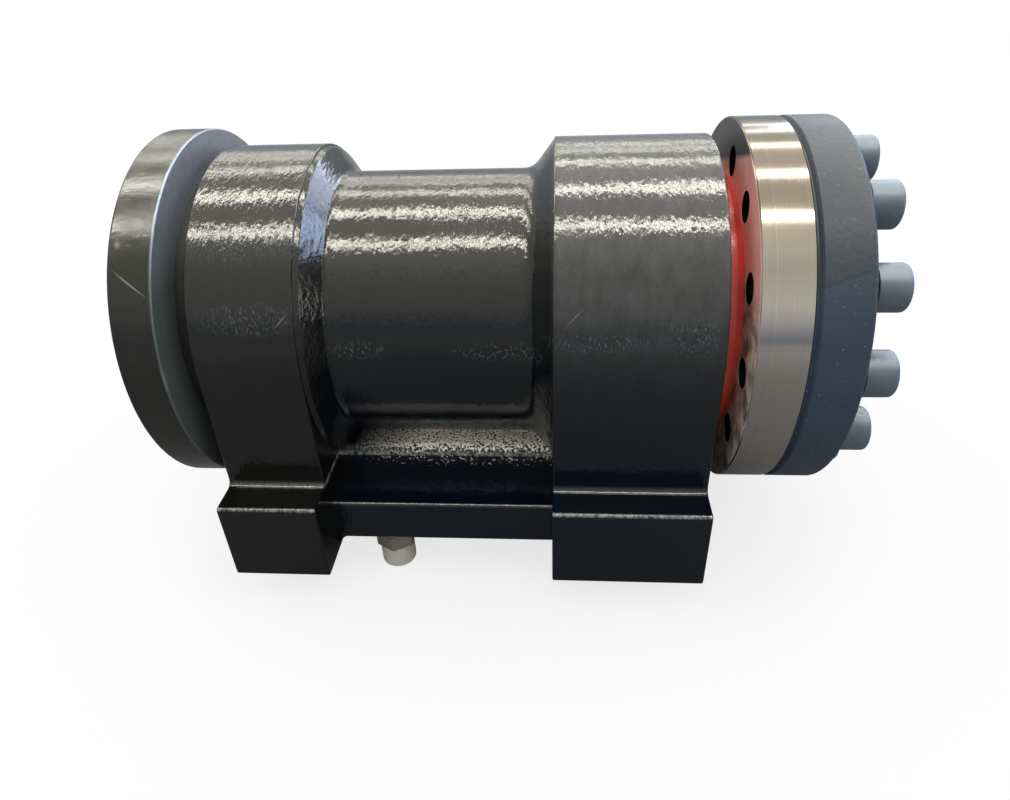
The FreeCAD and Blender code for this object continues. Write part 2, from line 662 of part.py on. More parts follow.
def lock_screw_bodies(extra):
    """Set screws along the thread joint, half in the shaft and half in the cap."""
    return pins_along_x(CAP_OUTER_FACE, CAP_CHAMFER + LOCK_SCREW_LENGTH, LOCK_SCREW_RADIUS + extra,
                        on_circle(LOCK_SCREW_COUNT, CAP_THREAD_RADIUS))


def lock_screws():
    screws = []
    start = CAP_OUTER_FACE + CAP_CHAMFER
    for y, z in on_circle(LOCK_SCREW_COUNT, CAP_THREAD_RADIUS):
        centre = vector(start, y, z)
        body = Part.makeCylinder(LOCK_SCREW_RADIUS, LOCK_SCREW_LENGTH, centre, AXIS)
        screws.append(body.cut(hexagon(centre, LOCK_SCREW_RADIUS, LOCK_SCREW_LENGTH / 3, AXIS)))
    return screws


def rear_guide():
    inner = PISTON_BORE_RADIUS - GUIDE_THICKNESS
    return ring(rear_guide_groove() + SEAT_CLEARANCE, REAR_GUIDE_WIDTH - 2 * SEAT_CLEARANCE,
                inner, PISTON_BORE_RADIUS - RUNNING_CLEARANCE)


def rear_shaft_seal():
    start = rear_seal_groove() + SEAT_CLEARANCE
    end = rear_seal_groove() + SEAL_WIDTH - SEAT_CLEARANCE
    inner = PISTON_BORE_RADIUS - SEAL_DEPTH + SEAT_CLEARANCE
    outer = PISTON_BORE_RADIUS - SEAL_CLEARANCE
    lip = (outer - inner) / 3
    return turned([
        (start, inner), (start, outer - lip / 2), (start + lip, outer),
        (end - lip, outer), (end, outer - lip / 2), (end, inner),
    ])


def front_thrust_washer():
    return ring(FRONT_FACE + FACE_CLEARANCE, THRUST_THICKNESS,
                FRONT_JOURNAL_RADIUS + FACE_CLEARANCE, FRONT_STEP_RADIUS)


def rear_thrust_washer():
    return ring(REAR_FACE - FACE_CLEARANCE - THRUST_THICKNESS, THRUST_THICKNESS,
                PISTON_BORE_RADIUS + FACE_CLEARANCE, REAR_STEP_RADIUS)


def dust_ring(start, end, inner):
    """Soft ring that fills the gap between the housing and a disc."""
    outer = inner + DUST_RING_WIDTH
    lip = DUST_RING_WIDTH / 4
    return turned([(start, inner), (start, outer - lip), (start + (end - start) / 3, outer),
                   (end, outer), (end, inner)])


def front_dust_ring():
    return dust_ring(FRONT_FACE + FACE_CLEARANCE, FLANGE_INNER_FACE - SEAT_CLEARANCE,
                     FRONT_STEP_RADIUS + SEAT_CLEARANCE)


def rear_dust_ring():
    return dust_ring(REAR_FACE - FACE_CLEARANCE, CAP_INNER_FACE + SEAT_CLEARANCE,
                     REAR_STEP_RADIUS + SEAT_CLEARANCE)


def adapter_disc():
    """Bolted disc with a recess over the pilot of the shaft flange."""
    recess = FLANGE_OUTER_FACE + PILOT_HEIGHT + FACE_CLEARANCE
    inner = PILOT_RADIUS + THREAD_CLEARANCE
    body = turned([
        (FLANGE_OUTER_FACE, inner), (FLANGE_OUTER_FACE, DISC_RADIUS - ADAPTER_CHAMFER),
        (FLANGE_OUTER_FACE + ADAPTER_CHAMFER, DISC_RADIUS),
        (ADAPTER_OUTER_FACE - ADAPTER_CHAMFER, DISC_RADIUS),
        (ADAPTER_OUTER_FACE, DISC_RADIUS - ADAPTER_CHAMFER),
        (ADAPTER_OUTER_FACE, ADAPTER_BORE_RADIUS), (recess, ADAPTER_BORE_RADIUS), (recess, inner),
    ])
    holes = pins_along_x(FLANGE_OUTER_FACE, ADAPTER_THICKNESS, SCREW_RADIUS + HOLE_CLEARANCE,
                         on_circle(SCREW_COUNT, SCREW_CIRCLE_RADIUS))
    return body.cut(holes)


def adapter_screw():
    """Socket head screw along X with its head face at the washer, centred on the X axis."""
    origin = vector(0, 0, 0)
    head = Part.makeCylinder(HEAD_RADIUS, HEAD_HEIGHT, origin, AXIS)
    rim = [edge for edge in head.Edges if abs(edge.CenterOfMass.x - HEAD_HEIGHT) < 0.01]
    head = head.makeFillet(HEAD_ROUND, rim)
    shank = Part.makeCylinder(SCREW_RADIUS, SCREW_LENGTH, origin, vector(-1, 0, 0))
    socket = hexagon(vector(HEAD_HEIGHT - SOCKET_DEPTH, 0, 0), SOCKET_FLATS, SOCKET_DEPTH, AXIS)
    return head.fuse(shank).cut(socket)


def adapter_screws():
    screws = []
    x = ADAPTER_OUTER_FACE + WASHER_THICKNESS
    pattern = adapter_screw()
    for y, z in on_circle(SCREW_COUNT, SCREW_CIRCLE_RADIUS):
        screws.append(pattern.translated(vector(x, y, z)))
    return screws


def lock_washers():
    """Split spring washers, each with its slit towards the rim."""
    washers = []
    for index, (y, z) in enumerate(on_circle(SCREW_COUNT, SCREW_CIRCLE_RADIUS)):
        centre = vector(ADAPTER_OUTER_FACE, y, z)
        body = Part.makeCylinder(WASHER_RADIUS, WASHER_THICKNESS, centre, AXIS)
        hole = Part.makeCylinder(SCREW_RADIUS + THREAD_CLEARANCE, WASHER_THICKNESS, centre, AXIS)
        slit = Part.makeBox(WASHER_THICKNESS, WASHER_RADIUS + WASHER_SLIT, WASHER_SLIT,
                            vector(ADAPTER_OUTER_FACE, y, z - WASHER_SLIT / 2))
        slit.rotate(centre, AXIS, 360.0 * index / SCREW_COUNT)
        washers.append(body.cut([hole, slit]))
    return washers


def sealing_washers():
    washers = []
    for x, y in port_places():
        base = vector(x, y, PLATE_CLEARANCE - SEALING_WASHER_THICKNESS)
        body = Part.makeCylinder(SEALING_WASHER_RADIUS, SEALING_WASHER_THICKNESS, base, UP)
        hole = Part.makeCylinder(PORT_RADIUS + THREAD_CLEARANCE, SEALING_WASHER_THICKNESS, base, UP)
        washers.append(body.cut(hole))
    return washers


def hex_bottom():
    return PLATE_CLEARANCE - SEALING_WASHER_THICKNESS - FITTING_HEX_HEIGHT


def port_fittings():
    """Straight hexagon fittings screwed up into the ports of the base plate."""
    fittings = []
    stem = PORT_DEPTH - FITTING_STEM_CLEARANCE + SEALING_WASHER_THICKNESS
    for x, y in port_places():
        base = vector(x, y, hex_bottom())
        body = hexagon(base, FITTING_FLATS, FITTING_HEX_HEIGHT, UP)
        trim = Part.makeCone(FITTING_FLATS / 2, FITTING_FLATS / 2 + HEX_TRIM_RATIO * FITTING_HEX_HEIGHT,
                             FITTING_HEX_HEIGHT, base, UP)
        body = body.common(trim)
        thread = Part.makeCylinder(PORT_RADIUS, stem, base + UP * FITTING_HEX_HEIGHT, UP)
        nose = Part.makeCylinder(FITTING_NOSE_RADIUS, FITTING_NOSE_LENGTH, base, -UP)
        way = Part.makeCylinder(FITTING_BORE_RADIUS, FITTING_NOSE_LENGTH + FITTING_HEX_HEIGHT + stem,
                                base - UP * FITTING_NOSE_LENGTH, UP)
        fittings.append(body.multiFuse([thread, nose]).cut(way))
    return fittings


def port_caps():
    """Protective caps pushed over the noses of the fittings."""
    caps = []
    for x, y in port_places():
        top = hex_bottom() - FACE_CLEARANCE
        base = vector(x, y, top - PORT_CAP_LENGTH)
        body = Part.makeCylinder(PORT_CAP_RADIUS, PORT_CAP_LENGTH, base, UP)
        rim = [edge for edge in body.Edges if abs(edge.CenterOfMass.z - base.z) < 0.01]
        body = body.makeFillet(PORT_CAP_ROUND, rim)
        floor = PORT_CAP_LENGTH - FITTING_NOSE_LENGTH
        cup = Part.makeCylinder(FITTING_NOSE_RADIUS + THREAD_CLEARANCE, PORT_CAP_LENGTH,
                                base + UP * floor, UP)
        caps.append(body.cut(cup))
    return caps


def save(name, shape):
    if isinstance(shape, list):
        shape = Part.makeCompound(shape)
    shape.exportStep("parts/" + name + ".step")
    print(name, len(shape.Solids), "solids", round(shape.Volume / 1000.0, 1), "cm3", shape.isValid())


os.makedirs("parts", exist_ok=True)
save("housing", housing())
save("ring_gear", ring_gear())
save("ring_gear_pins", ring_gear_pins())
save("gallery_plugs", gallery_plugs())
save("output_shaft", output_shaft())
save("piston_sleeve", piston_sleeve())
save("piston_guide_rings", piston_guide_rings())
save("piston_outer_seal", piston_outer_seal())
save("piston_inner_seal", piston_inner_seal())
save("front_guide", front_guide())
save("front_shaft_seal", front_shaft_seal())
save("front_thrust_washer", front_thrust_washer())
save("front_dust_ring", front_dust_ring())
save("end_cap", end_cap())
save("end_cap_lock_screws", lock_screws())
save("end_cap_o_ring", cap_o_ring())
save("rear_guide", rear_guide())
save("rear_shaft_seal", rear_shaft_seal())
save("rear_thrust_washer", rear_thrust_washer())
save("rear_dust_ring", rear_dust_ring())
save("adapter_disc", adapter_disc())
save("adapter_screws", adapter_screws())
save("lock_washers", lock_washers())
save("port_fittings", port_fittings())
save("port_sealing_washers", sealing_washers())
save("port_caps", port_caps())
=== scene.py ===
# %% [markdown]
# # A foot-mounted rotary actuator
# The real object is a heavy hydraulic drive: a black enamelled casting that carries a shaft with a disc
# at each end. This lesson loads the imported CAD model, models the visible pieces anew with Blender's own
# mesh tools, and gives every surface a node material that follows how the real one was made.

import math

import bmesh
import bpy
from mathutils import Matrix, Vector


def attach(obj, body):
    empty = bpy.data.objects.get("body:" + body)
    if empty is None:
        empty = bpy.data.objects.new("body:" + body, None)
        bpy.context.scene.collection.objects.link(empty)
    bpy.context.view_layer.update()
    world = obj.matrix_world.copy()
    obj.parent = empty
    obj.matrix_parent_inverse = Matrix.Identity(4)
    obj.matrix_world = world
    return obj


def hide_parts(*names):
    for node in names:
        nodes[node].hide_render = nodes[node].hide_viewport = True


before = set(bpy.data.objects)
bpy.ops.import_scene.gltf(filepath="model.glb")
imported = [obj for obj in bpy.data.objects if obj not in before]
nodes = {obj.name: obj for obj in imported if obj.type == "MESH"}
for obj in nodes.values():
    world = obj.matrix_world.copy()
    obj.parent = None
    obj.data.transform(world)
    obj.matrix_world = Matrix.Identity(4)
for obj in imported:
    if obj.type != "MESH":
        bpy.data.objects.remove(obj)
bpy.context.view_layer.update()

# %% [markdown]
# ## Sizes
# The CAD model is in metres here, with its origin at the middle of the feet. The sizes below are typed
# in millimetres, as on the real drawing, and turned into metres where they are used. They repeat the
# CAD's own numbers, because a piece has to fit where the CAD put it.

# %% Main sizes
MM = 0.001
AXIS = 150.0
REAR_FACE, REAR_SHOULDER = -160.0, -90.0
FRONT_SHOULDER, FRONT_FACE = 72.0, 178.0
REAR_RADIUS, FRONT_RADIUS, TUBE_RADIUS = 118.0, 119.5, 98.5
DISC_RADIUS = 130.0
FOOT_HALF, FOOT_HEIGHT = 145.0, 64.0
FLANGE_FACE, ADAPTER_FACE = 224.0, 258.0
SCREW_COUNT, SCREW_CIRCLE = 12, 104.0
ALONG_X = (0.0, math.pi / 2, 0.0)


# %% [markdown]
# ## Small helpers for modelling
# By hand, one would add a primitive, press Tab, pick some faces and extrude them. A script does the
# same, but picks faces or edges by where they are. Everything is deselected before a new primitive,
# because an operator works on all that is selected.

# %% Helpers for modelling
def start(name):
    """Name the primitive that was just added and open it in edit mode."""
    piece = bpy.context.object
    piece.name = name
    piece.data.name = name
    bpy.ops.object.mode_set(mode="EDIT")
    bpy.ops.mesh.select_mode(type="VERT")
    return piece


def clear_selection():
    if bpy.context.object and bpy.context.object.mode == "EDIT":
        bpy.ops.object.mode_set(mode="OBJECT")
    bpy.ops.object.select_all(action="DESELECT")


def choose(*pieces):
    """Select these objects only, the first one active."""
    clear_selection()
    for piece in pieces:
        piece.select_set(True)
    bpy.context.view_layer.objects.active = pieces[0]


def pick(kind, test):
    """In edit mode, select the faces or edges whose middle (mm) and normal or direction pass a test."""
    piece = bpy.context.object
    bpy.ops.mesh.select_mode(type=kind)
    bpy.ops.mesh.select_all(action="DESELECT")
    mesh = bmesh.from_edit_mesh(piece.data)
    turn = piece.matrix_world.to_3x3()
    for part in mesh.faces if kind == "FACE" else mesh.edges:
        corners = [v.co for v in part.verts]
        middle = piece.matrix_world @ (sum(corners, Vector()) / len(corners)) / MM
        way = turn @ (part.normal if kind == "FACE" else (corners[1] - corners[0]).normalized())
        if test(middle, way):
            part.select_set(True)
    mesh.select_flush_mode()
    bmesh.update_edit_mesh(piece.data)


def extrude(y=0.0, z=0.0):
    """Extrude the selection by millimetres."""
    bpy.ops.mesh.extrude_region_move(TRANSFORM_OT_translate={"value": (0, y * MM, z * MM)})


def bevel(width, segments):
    bpy.ops.mesh.bevel(offset=width * MM, offset_type="OFFSET", segments=segments, affect="EDGES")


def apply_modifier(piece, kind, **settings):
    """Add one modifier to a piece and apply it at once."""
    choose(piece)
    modifier = piece.modifiers.new(kind.title(), kind)
    for key, value in settings.items():
        setattr(modifier, key, value)
    bpy.ops.object.modifier_apply(modifier=modifier.name)


def combine(piece, tools, operation):
    """Boolean each tool with the piece, then remove the tool."""
    for tool in tools:
        apply_modifier(piece, "BOOLEAN", operation=operation, solver="EXACT", object=tool)
        bpy.data.objects.remove(tool)


def apply_place():
    """Write place, turn and scale of what is selected into its mesh."""
    bpy.ops.object.transform_apply(location=True, rotation=True, scale=True)


def joined(name, pieces):
    """The pieces as one, with its origin at the model's."""
    choose(*pieces)
    bpy.ops.object.join()
    apply_place()
    bpy.context.object.name = name
    return bpy.context.object


def cylinder(radius, length, middle, rotation=(0, 0, 0), vertices=48):
    """A cylinder with its sizes and its middle in millimetres."""
    clear_selection()
    bpy.ops.mesh.primitive_cylinder_add(vertices=vertices, radius=radius * MM, depth=length * MM,
                                        rotation=rotation, location=[v * MM for v in middle])
    return bpy.context.object


def finish_mesh(piece):
    """Place in the mesh, doubles merged, and smooth shading that keeps the corners."""
    choose(piece)
    apply_place()
    bpy.ops.object.mode_set(mode="EDIT")
    bpy.ops.mesh.select_all(action="SELECT")
    bpy.ops.mesh.remove_doubles(threshold=0.01 * MM)
    bpy.ops.mesh.normals_make_consistent(inside=False)
    bpy.ops.object.mode_set(mode="OBJECT")
    bpy.ops.object.shade_smooth_by_angle(angle=math.radians(35))
    apply_modifier(piece, "WEIGHTED_NORMAL", keep_sharp=True, weight=80)
    return piece


# %% [markdown]
# ## Turning on a lathe
# The discs, the tube and the rings are round, and in the workshop they are turned. Blender's Spin does
# the same: one vertex is extruded along half of the section, and the outline is spun round the shaft.
# Corner radii are worked into the outline, so each edge has its own rounding.

# %% Lathe helpers
def rounded(corners, steps=4):
    """Points of a closed outline of (x, radius, rounding) corners, with an arc at each rounding."""
    points = []
    count = len(corners)
    for index in range(count):
        here = Vector(corners[index][:2])
        size = corners[index][2]
        before = (Vector(corners[index - 1][:2]) - here).normalized()
        after = (Vector(corners[(index + 1) % count][:2]) - here).normalized()
        half = before.angle(after) / 2
        if size <= 0:
            points.append(here)
            continue
        centre = here + (before + after).normalized() * (size / math.sin(half))
        first = here + before * (size / math.tan(half)) - centre
        last = here + after * (size / math.tan(half)) - centre
        sweep = first.angle_signed(last)
        for step in range(steps + 1):
            turned_by = -sweep * step / steps
            points.append(centre + Matrix.Rotation(turned_by, 2) @ first)
    return points


def turned(name, corners, segments=160, steps=4, centre=(0.0, 0.0, AXIS), upright=False):
    """Extrude one vertex round the half section, then spin it about the shaft, or about Z."""
    points = rounded(corners, steps)
    middle = Vector(centre) * MM

    def place(point):
        along, out = point * MM
        return middle + (Vector((out, 0, along)) if upright else Vector((along, 0, out)))

    clear_selection()
    bpy.ops.mesh.primitive_plane_add(size=MM, location=place(points[0]))
    piece = start(name)
    bpy.ops.mesh.select_all(action="SELECT")
    bpy.ops.mesh.merge(type="CENTER")
    for before, after in zip(points, points[1:] + points[:1]):
        bpy.ops.mesh.extrude_region_move(TRANSFORM_OT_translate={"value": place(after) - place(before)})
    bpy.ops.mesh.select_all(action="SELECT")
    bpy.ops.mesh.remove_doubles(threshold=0.000001)
    bpy.ops.mesh.spin(steps=segments, angle=2 * math.pi, center=middle,
                      axis=(0, 0, 1) if upright else (1, 0, 0))
    bpy.ops.mesh.select_all(action="SELECT")
    bpy.ops.mesh.remove_doubles(threshold=0.000005)
    bpy.ops.mesh.normals_make_consistent(inside=False)
    bpy.ops.object.mode_set(mode="OBJECT")
    apply_place()
    print(name, len(points), "outline points,", len(piece.data.polygons), "faces")
    return piece


def cutters(name, radius, x, length, places):
    """One cylinder along X at each (y, z) place, joined as one cutting tool."""
    return joined(name, [cylinder(radius, length, (x + length / 2, y, z), ALONG_X) for y, z in places])


def on_circle(count, radius, phase=0.0):
    """Places (y, z) in millimetres, equally spaced round the shaft."""
    angles = [math.radians(phase + 360.0 * i / count) for i in range(count)]
    return [(radius * math.cos(a), AXIS + radius * math.sin(a)) for a in angles]


# %% [markdown]
# ## The ends of the casting
# Each end of the real casting is a ring that runs straight down into a stepped foot. It could be drawn
# as a flat outline and extruded, but the way by hand is quicker to change: a cylinder is cut in half,
# its flat side is pulled down to make the leg, and the foot's sides are pulled out to make the ledge.

# %% Model the two ends of the casting
FOOT_FILLET, FOOT_EDGE, CAST_EDGE = 5.0, 3.0, 1.3


def housing_end(name, x, width, radius):
    cylinder(radius, width, (x + width / 2, 0, AXIS), ALONG_X, vertices=160)
    piece = start(name)
    bpy.ops.mesh.select_all(action="SELECT")
    bpy.ops.mesh.bisect(plane_co=(0, 0, AXIS * MM), plane_no=(0, 0, 1), use_fill=True, clear_inner=True)
    pick("FACE", lambda p, n: n.z < -0.9 and abs(p.z - AXIS) < 0.1)
    extrude(z=FOOT_HEIGHT - AXIS)
    extrude(z=-FOOT_HEIGHT)
    for side in (-1, 1):
        pick("FACE", lambda p, n: n.y * side > 0.9 and p.z < FOOT_HEIGHT)
        extrude(y=side * (FOOT_HALF - radius))
    pick("EDGE", lambda p, d: (abs(d.x) > 0.9 and abs(abs(p.y) - radius) < 0.1
                               and abs(p.z - FOOT_HEIGHT) < 0.1))
    bevel(FOOT_FILLET, 6)
    pick("EDGE", lambda p, d: abs(d.x) > 0.9 and abs(abs(p.y) - FOOT_HALF) < 0.1)
    bevel(FOOT_EDGE, 4)
    choose(piece)
    apply_place()
    apply_modifier(piece, "BEVEL", width=CAST_EDGE * MM, segments=3, limit_method="ANGLE",
                   angle_limit=math.radians(40), miter_outer="MITER_ARC")
    print(name, len(piece.data.polygons), "faces")
    return piece


rear_end = housing_end("rear_end", REAR_FACE, REAR_SHOULDER - REAR_FACE, REAR_RADIUS)
front_end = housing_end("front_end", FRONT_SHOULDER, FRONT_FACE - FRONT_SHOULDER, FRONT_RADIUS)

# %% [markdown]
# ## The tube and the plate between the ends
# The tube meets each end in a short cone with a cast fillet, so it is one turned outline. The plate
# and the shelf under the tube are blocks with the soft corners that a sand mould leaves. Overlapping
# shells would do for a picture, but a real casting is one body, so they are joined by Boolean unions.

# %% Model the tube, the plate and the shelf
PLATE_HALF, PLATE_LOW, PLATE_TOP = 118.0, 13.0, 47.0
SHELF_HALF, SHELF_TOP = 80.0, 70.0
PLATE_EDGE, SHELF_EDGE, UNDER_FILLET = 3.0, 7.0, 12.0
OVERLAP = 3.0
CORE_RADIUS = 60.0
CONE_LENGTH, CONE_STEP, CONE_ROUND = 15.0, 1.5, 3.0
INNER_REAR, INNER_FRONT = REAR_SHOULDER - OVERLAP, FRONT_SHOULDER + OVERLAP

tube = turned("tube", [
    (INNER_REAR, CORE_RADIUS, 0), (INNER_REAR, REAR_RADIUS - CONE_STEP, 0),
    (REAR_SHOULDER, REAR_RADIUS - CONE_STEP, 0),
    (REAR_SHOULDER + CONE_ROUND, REAR_RADIUS - CONE_ROUND, CONE_ROUND),
    (REAR_SHOULDER + CONE_LENGTH, TUBE_RADIUS, 6), (FRONT_SHOULDER - CONE_LENGTH, TUBE_RADIUS, 14),
    (FRONT_SHOULDER, FRONT_RADIUS - CONE_STEP, 0), (INNER_FRONT, FRONT_RADIUS - CONE_STEP, 0),
    (INNER_FRONT, CORE_RADIUS, 0),
], steps=8)


def block(name, low, high):
    """A box between two corners in millimetres."""
    clear_selection()
    size = [(b - a) * MM for a, b in zip(low, high)]
    middle = [(a + b) / 2 * MM for a, b in zip(low, high)]
    bpy.ops.mesh.primitive_cube_add(size=1, location=middle, scale=size)
    bpy.context.object.name = name
    apply_place()
    return bpy.context.object


def bevel_along(above, width, segments):
    """Bevel the active piece's edges along X that lie above a height."""
    bpy.ops.object.mode_set(mode="EDIT")
    pick("EDGE", lambda p, d: abs(d.x) > 0.9 and p.z > above)
    bevel(width, segments)
    bpy.ops.object.mode_set(mode="OBJECT")


plate = block("plate", (INNER_REAR, -PLATE_HALF, PLATE_LOW), (INNER_FRONT, PLATE_HALF, PLATE_TOP))
bevel_along(0, PLATE_EDGE, 4)
shelf = block("shelf", (INNER_REAR, -SHELF_HALF, PLATE_TOP - 10), (INNER_FRONT, SHELF_HALF, SHELF_TOP))
bevel_along(PLATE_TOP, SHELF_EDGE, 6)

fillet_half = PLATE_HALF - PLATE_EDGE
fillet = block("fillet", (INNER_REAR, -fillet_half, PLATE_LOW - UNDER_FILLET),
               (REAR_SHOULDER + UNDER_FILLET, fillet_half, PLATE_LOW + OVERLAP))
hollow = cylinder(UNDER_FILLET, 400, (REAR_SHOULDER + UNDER_FILLET, 0, PLATE_LOW - UNDER_FILLET),
                  (math.pi / 2, 0, 0), vertices=64)
combine(fillet, [hollow], "DIFFERENCE")

housing = rear_end
housing.name = "housing_casting"
combine(housing, [front_end, tube, plate, shelf, fillet], "UNION")
print("casting:", len(housing.data.polygons), "faces")

# %% [markdown]
# ## Bores, foot holes and ports
# The real casting is bored from both ends for the piston and the shaft, and the feet are drilled and
# tapped from below. The same is done here with one turned cutting tool and a few cylinders. The turned
# tool leaves a thin core on the axis, which a plain cylinder then takes away.

# %% Cut the bores and the holes
PAST = 5.0
REAR_BORE, MIDDLE_BORE, MOUTH_BORE = 82.0, 76.0, 70.4
REAR_BORE_END, MIDDLE_BORE_END = 45.0, 128.0
BORE_CORE = 0.5
bore = turned("bore", [
    (REAR_FACE - PAST, BORE_CORE, 0), (REAR_FACE - PAST, REAR_BORE, 0), (REAR_BORE_END, REAR_BORE, 0),
    (REAR_BORE_END, MIDDLE_BORE, 0), (MIDDLE_BORE_END, MIDDLE_BORE, 0), (MIDDLE_BORE_END, MOUTH_BORE, 0),
    (FRONT_FACE + PAST, MOUTH_BORE, 0), (FRONT_FACE + PAST, BORE_CORE, 0),
], segments=120)
core = cutters("core", 10 * BORE_CORE, REAR_FACE - PAST, FRONT_FACE - REAR_FACE + 2 * PAST, [(0, AXIS)])


def upright_cutters(name, radius, z, height, places):
    """One vertical cylinder at each (x, y) place, joined as one cutting tool."""
    return joined(name, [cylinder(radius, height, (x, y, z + height / 2), vertices=40) for x, y in places])


FOOT_HOLE, FOOT_HOLE_DEPTH = 12.0, 44.0
PORT_HOLE, PORT_DEPTH = 8.35, 14.0
foot_places = [(x, y) for x in (-125, 125) for y in (-110, 110)]
port_places = [(-49, -101), (52, 101)]
foot_holes = upright_cutters("foot_holes", FOOT_HOLE, -PAST, FOOT_HOLE_DEPTH + PAST, foot_places)
port_holes = upright_cutters("port_holes", PORT_HOLE, PLATE_LOW - PAST, PORT_DEPTH + PAST, port_places)
combine(housing, [bore, core, foot_holes, port_holes], "DIFFERENCE")
finish_mesh(housing)
print("housing_casting:", len(housing.data.polygons), "faces")

# %% [markdown]
# ## End cap, adapter disc and dust ring
# These are plain turned pieces. What makes them look real is the size of their edges: the painted cap
# has a soft corner of about two millimetres, and the moulded dust ring has a rounded lip.

# %% Turn the end cap
CAP_OUTER, CAP_INNER = -203.0, -174.0
CAP_BORE, SEAT_RADIUS, SEAT_END = 43.05, 46.05, -145.3
COLLAR_RADIUS, COLLAR_END = 92.0, -163.4
HUB_RADIUS, HUB_END = 81.7, -130.0
SPANNER_HOLE, SPANNER_DEPTH, SPANNER_CIRCLE = 6.0, 12.0, 90.0
LOCK_SEAT, LOCK_DEPTH, LOCK_CIRCLE = 4.05, 18.0, 43.0
end_cap = turned("end_cap_painted", [
    (CAP_OUTER, CAP_BORE, 0.5), (CAP_OUTER, DISC_RADIUS, 2.2), (CAP_INNER, DISC_RADIUS, 1.2),
    (CAP_INNER, COLLAR_RADIUS, 1), (COLLAR_END, COLLAR_RADIUS, 0.5), (COLLAR_END, HUB_RADIUS, 0),
    (HUB_END, HUB_RADIUS, 0.8), (HUB_END, SEAT_RADIUS, 0), (SEAT_END, SEAT_RADIUS, 0),
    (SEAT_END, CAP_BORE, 0),
], segments=192)
start_x = CAP_OUTER - PAST
spanner_holes = cutters("spanner_holes", SPANNER_HOLE, start_x, SPANNER_DEPTH + PAST,
                        on_circle(4, SPANNER_CIRCLE, 45))
lock_seats = cutters("lock_seats", LOCK_SEAT, start_x, LOCK_DEPTH + PAST, on_circle(3, LOCK_CIRCLE))
combine(end_cap, [spanner_holes, lock_seats], "DIFFERENCE")
finish_mesh(end_cap)

# %% Turn the adapter disc
ADAPTER_BORE, PILOT_RADIUS, PILOT_DEPTH = 32.0, 60.05, 4.3
SCREW_HOLE = 11.0
adapter = turned("adapter_painted", [
    (FLANGE_FACE, PILOT_RADIUS, 0), (FLANGE_FACE, DISC_RADIUS - 3, 0.3),
    (FLANGE_FACE + 1.8, DISC_RADIUS - 2.8, 0.3), (FLANGE_FACE + 4, DISC_RADIUS, 0.8),
    (ADAPTER_FACE, DISC_RADIUS, 2.5), (ADAPTER_FACE, ADAPTER_BORE, 1),
    (FLANGE_FACE + PILOT_DEPTH, ADAPTER_BORE, 0.5), (FLANGE_FACE + PILOT_DEPTH, PILOT_RADIUS, 0),
], segments=192)
screw_holes = cutters("screw_holes", SCREW_HOLE, FLANGE_FACE - PAST, ADAPTER_FACE - FLANGE_FACE + 2 * PAST,
                      on_circle(SCREW_COUNT, SCREW_CIRCLE))
combine(adapter, [screw_holes], "DIFFERENCE")
finish_mesh(adapter)

# %% Turn the red dust ring
RING_REAR, RING_FRONT = 178.3, 191.9
RING_BORE, RING_RADIUS = 86.1, 95.0
dust_ring = turned("dust_ring_red", [
    (RING_REAR, RING_BORE, 0), (RING_REAR, RING_RADIUS - 1.6, 1.2), (RING_REAR + 3.2, RING_RADIUS, 1.5),
    (RING_FRONT - 4.4, RING_RADIUS, 2.0), (RING_FRONT, RING_RADIUS - 3, 0.8), (RING_FRONT, RING_BORE, 0),
], segments=192)
finish_mesh(dust_ring)

# %% [markdown]
# ## Socket head screws and spring washers
# Twelve equal screws hold the adapter. One is modelled and copied round the circle: a cylinder gets its
# rim rounded, a six-sided socket is pushed in, and the shank is pulled out of the other end. The split
# washer is a ring with a gap.

# %% Model one screw and copy it
HEAD_RADIUS, HEAD_HEIGHT, HEAD_X = 15.0, 20.0, ADAPTER_FACE + 5.0
HEAD_END = HEAD_X + HEAD_HEIGHT
SHANK_RADIUS, SHANK_END = 10.0, HEAD_X - 60.0
SOCKET_WIDTH = 17.0
WASHER_BORE, WASHER_RADIUS, WASHER_GAP = 10.1, 14.2, 1.5
NEAR_AXIS = 0.4


def one_screw():
    screw = turned("screw", [
        (SHANK_END, NEAR_AXIS, 0), (SHANK_END, SHANK_RADIUS, 1.2), (HEAD_X, SHANK_RADIUS, 0),
        (HEAD_X, HEAD_RADIUS, 0.6), (HEAD_END, HEAD_RADIUS, 2.6), (HEAD_END, NEAR_AXIS, 0),
    ], segments=48, steps=5, centre=(0, 0, 0))
    socket = cylinder(SOCKET_WIDTH / math.sqrt(3), HEAD_HEIGHT, (HEAD_END, 0, 0), ALONG_X, vertices=6)
    combine(screw, [socket], "DIFFERENCE")
    return finish_mesh(screw)


def one_washer():
    washer = turned("washer", [
        (ADAPTER_FACE, WASHER_BORE, 0.3), (ADAPTER_FACE, WASHER_RADIUS, 0.5),
        (HEAD_X, WASHER_RADIUS, 0.5), (HEAD_X, WASHER_BORE, 0.3),
    ], segments=48, steps=2, centre=(0, 0, 0))
    gap = block("gap", (ADAPTER_FACE - 1, 5, -WASHER_GAP / 2), (HEAD_X + 1, 20, WASHER_GAP / 2))
    combine(washer, [gap], "DIFFERENCE")
    return finish_mesh(washer)


